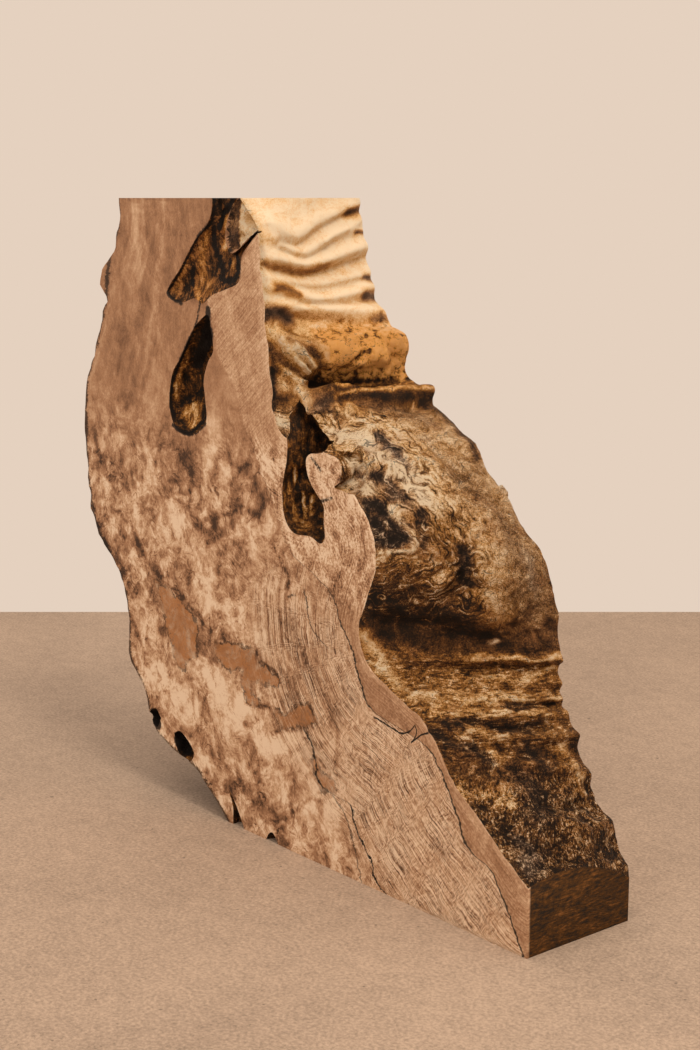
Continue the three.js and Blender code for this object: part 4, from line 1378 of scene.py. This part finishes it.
class BurlStage(bpy.types.PropertyGroup):
    """The studio around the slab."""

    floor: tone("Floor", "The plain floor", 186, 164, 145)
    backdrop: tone("Backdrop", "The plain surroundings", 229, 209, 191)
    floor_reach: length("Floor reach", "How far the floor runs behind the slab", 610)
    key_power: power("Key power", "Power of the light on the right", 17.0)
    top_power: power("Top power", "Power of the large light overhead", 19.0)
    fill_power: power("Fill power", "Power of the soft light in front", 11.0)
    surround: share("Surround", "How much light the surroundings give", 0.98)


# Operators

SAWN, NATURAL, POCKET = range(3)
NATURAL_CAVITIES = ("recess right of the tongue",)
SHARP_ANGLE = math.radians(58)

# How square to an axis a sawn face stands, how near its plane it lies, and how high the foot's end reaches
PLANE_FACING = 0.999
END_FACING = 0.99
PLANE_GAP = 0.1
END_TOP = 24


class BURL_OT_slab(bpy.types.Operator):
    """Make the slab's wood in place of the plain solid"""

    bl_idname = "burl.slab"
    bl_label = "Make slab"

    def execute(self, context):
        form = context.scene.burl_form
        tones = context.scene.burl_tones
        right, right_rise = right_side(form.row_step / MM, form.layers, form.fine)
        left, left_rise = left_side(form.left_step / MM, form.layers, form.fine)
        materials = [sawn_wood(tones), natural_wood(tones), pocket_wood(tones)]
        verts, faces = slab_mesh(right, left, form.face_step / MM, form.back_step / MM)
        uncut = new_mesh("uncut", verts, faces)
        cutters = self.make_cutters(form.pocket_roughness)
        for material in materials:
            for mesh in (uncut, *cutters.values()):
                mesh.materials.append(material)
        self.mark_faces(uncut)
        wood = cut(uncut, cutters)
        wood.name = "burl_wood"
        if len(wood.polygons) < len(faces) // 2:
            raise RuntimeError("cutting the cavities lost the slab")
        wood.polygons.foreach_set("use_smooth", np.ones(len(wood.polygons), bool))
        self.roughen_corner(wood)
        wood.set_sharp_from_angle(angle=SHARP_ANGLE)
        points = mesh_points(wood)
        store_natural(wood, points, [(right, right_rise), (left, left_rise)])
        store_sawn(wood, points)
        slab = bpy.data.objects.new("burl_wood", wood)
        context.scene.collection.objects.link(slab)
        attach(slab, "root")
        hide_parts("burl")
        return {"FINISHED"}

    def make_cutters(self, roughness):
        """A mesh for each cavity, with its kind of wood marked."""
        cutters = {}
        for name, (depth, outline) in CAVITIES.items():
            cutter = new_mesh(name, *cavity_mesh(depth, outline, roughness))
            kind = NATURAL if name in NATURAL_CAVITIES else POCKET
            cutter.polygons.foreach_set("material_index", np.full(len(cutter.polygons), kind, np.int32))
            cutters[name] = cutter
        return cutters

    def mark_faces(self, mesh):
        """Gives the sawn planes and the natural sides their own materials."""
        centres = np.empty(len(mesh.polygons) * 3, np.float32)
        normals = np.empty(len(mesh.polygons) * 3, np.float32)
        mesh.polygons.foreach_get("center", centres)
        mesh.polygons.foreach_get("normal", normals)
        x, y, z = ((centres.reshape(-1, 3) - np.array(FOOT)) / MM).T
        normals = np.abs(normals.reshape(-1, 3))
        front = y < PLANE_GAP
        flat = (normals[:, 1] > PLANE_FACING) & (front | (y > THICKNESS - PLANE_GAP))
        flat &= ~(inside_outline(x, z, np.array(CORNER, float)) & front)
        level = (normals[:, 2] > PLANE_FACING) & ((z < PLANE_GAP) | (z > HEIGHT - PLANE_GAP))
        end = (normals[:, 0] > END_FACING) & (x > -PLANE_GAP) & (z < END_TOP)
        kinds = np.where(flat | level | end, SAWN, NATURAL)
        mesh.polygons.foreach_set("material_index", kinds.astype(np.int32))

    def roughen_corner(self, mesh):
        """Sinks the corner of natural wood on the front face unevenly under the saw's plane."""
        points = mesh_points(mesh)
        x, y, z = points.T
        corner = np.array(CORNER, float)
        sunk = inside_outline(x, z, corner) & (y < PLANE_GAP / 2)
        depth = CORNER_DEPTH + lumps(points, CORNER_LUMPS)
        points[:, 1] = np.where(sunk, np.clip(depth, CORNER_LEAST_DEPTH, None), y)
        mesh.vertices.foreach_set("co", (points * MM + np.array(FOOT)).astype(np.float32).ravel())
        mesh.update()


class BURL_OT_stage(bpy.types.Operator):
    """Set out the floor, the lights and the camera"""

    bl_idname = "burl.stage"
    bl_label = "Set out stage"

    # The camera's place from the foot's front corner and the way it looks, as the picture was taken
    CAMERA_PLACE = Vector((0.6144, -0.6545, 0.420))
    CAMERA_AHEAD = Vector((-0.761, 0.649, 0.0)).normalized()
    CAMERA_DOWN = math.radians(10.888)
    CAMERA_LENS = 58.29
    SENSOR = 36.0

    # The floor's half width and its reach in front, as shares of its reach behind, and its darkest grain
    FLOOR_SIDE = 2.2
    FLOOR_FRONT = 1.6
    FLOOR_GRAIN = 0.42

    # Each light's way from the slab, its distance, its size and its colour
    LIGHTS = {
        "key": ((0.51, -0.10, 0.85), 2.2, 0.5, (1.0, 0.86, 0.7)),
        "top": ((0.30, -0.15, 0.95), 2.2, 2.0, (1.0, 0.9, 0.78)),
        "fill": ((-0.10, -1.0, 0.45), 2.4, 1.8, (1.0, 0.9, 0.8)),
    }

    def execute(self, context):
        stage = context.scene.burl_stage
        self.make_floor(context, stage)
        self.make_surround(context, stage)
        middle = (CAD_BOX[0] + CAD_BOX[1]) / 2
        powers = {"key": stage.key_power, "top": stage.top_power, "fill": stage.fill_power}
        for name, (way, distance, size, colour) in self.LIGHTS.items():
            place = middle + Vector(way).normalized() * distance
            self.make_light(context, name, place, middle, powers[name], size, colour)
        self.make_camera(context)
        context.scene.view_settings.view_transform = "Standard"
        return {"FINISHED"}

    def make_floor(self, context, stage):
        """A plain oblong floor, square to the camera."""
        ahead, right = self.CAMERA_AHEAD, self.CAMERA_AHEAD.cross(Vector((0, 0, 1)))
        side, front = self.FLOOR_SIDE, self.FLOOR_FRONT
        ends = ((-side, -front), (side, -front), (side, 1), (-side, 1))
        corners = [(right * a + ahead * b) * stage.floor_reach for a, b in ends]
        mesh = bpy.data.meshes.new("floor")
        mesh.from_pydata(corners, [], [(0, 1, 2, 3)])
        floor = bpy.data.objects.new("floor", mesh)
        context.scene.collection.objects.link(floor)
        surface = Wood("floor")
        cloud = surface.place.noise(0.006, 5, 0.6)
        grit = surface.place.noise(0.45, 4, 0.75)
        crumbs = (surface.place.noise(0.16, 1, 0.5) + grit * 0.3).step(0.26, 0.3)
        darker = tuple(c * self.FLOOR_GRAIN for c in stage.floor)
        light = (cloud * 1.4 + grit * 4.4 + surface.place.noise(0.09, 3, 0.6)).slope(-1.1, 0.6) - crumbs
        colour = surface.colour(darker).mix(surface.colour(stage.floor), light)
        mesh.materials.append(surface.finish(colour, 0.7 + grit * 0.2, grit, 0.3, 0.2))

    def make_surround(self, context, stage):
        """Plain surroundings that light the slab from all round."""
        world = bpy.data.worlds.new("surround")
        world.use_nodes = True
        tree = world.node_tree
        ground = tree.nodes["Background"]
        ground.inputs["Color"].default_value = (*stage.backdrop, 1)
        seen = tree.nodes.new("ShaderNodeLightPath").outputs["Is Camera Ray"]
        strength = Field(tree, seen) * (1 - stage.surround) + stage.surround
        tree.links.new(strength.socket, ground.inputs["Strength"])
        context.scene.world = world

    def make_light(self, context, name, place, target, power, size, colour):
        """A soft square light that faces the slab."""
        light = bpy.data.lights.new(name, "AREA")
        light.energy = power
        light.size = size
        light.color = colour
        lamp = bpy.data.objects.new(name, light)
        lamp.location = place
        lamp.rotation_euler = (target - place).to_track_quat("-Z", "Y").to_euler()
        context.scene.collection.objects.link(lamp)

    def make_camera(self, context):
        """The camera at the picture's own place and angle."""
        camera = bpy.data.objects.new("camera", bpy.data.cameras.new("camera"))
        camera.data.lens = self.CAMERA_LENS
        camera.data.sensor_width = self.SENSOR
        camera.location = FOOT + self.CAMERA_PLACE
        down = Vector((0, 0, -math.sin(self.CAMERA_DOWN)))
        look = self.CAMERA_AHEAD * math.cos(self.CAMERA_DOWN) + down
        camera.rotation_euler = look.to_track_quat("-Z", "Y").to_euler()
        context.scene.collection.objects.link(camera)
        context.scene.camera = camera


class BURL_PT_panel(bpy.types.Panel):
    """The slab's and the stage's settings in the sidebar."""

    bl_idname = "BURL_PT_panel"
    bl_label = "Maple burl"
    bl_space_type = "VIEW_3D"
    bl_region_type = "UI"
    bl_category = "Burl"

    def draw(self, context):
        layout = self.layout
        for group in (context.scene.burl_form, context.scene.burl_tones, context.scene.burl_stage):
            box = layout.box()
            for name in group.__annotations__:
                box.prop(group, name)
        layout.operator(BURL_OT_slab.bl_idname)
        layout.operator(BURL_OT_stage.bl_idname)


CLASSES = (BurlTones, BurlForm, BurlStage, BURL_OT_slab, BURL_OT_stage, BURL_PT_panel)


def register():
    """Adds the settings, the operators and the panel."""
    for cls in CLASSES:
        bpy.utils.register_class(cls)
    bpy.types.Scene.burl_tones = bpy.props.PointerProperty(type=BurlTones)
    bpy.types.Scene.burl_form = bpy.props.PointerProperty(type=BurlForm)
    bpy.types.Scene.burl_stage = bpy.props.PointerProperty(type=BurlStage)


def unregister():
    """Takes the settings, the operators and the panel away again."""
    del bpy.types.Scene.burl_stage
    del bpy.types.Scene.burl_form
    del bpy.types.Scene.burl_tones
    for cls in reversed(CLASSES):
        bpy.utils.unregister_class(cls)


def main():
    """Makes the slab and its stage."""
    register()
    bpy.ops.burl.slab()
    bpy.ops.burl.stage()


if __name__ == "__main__":
    main()
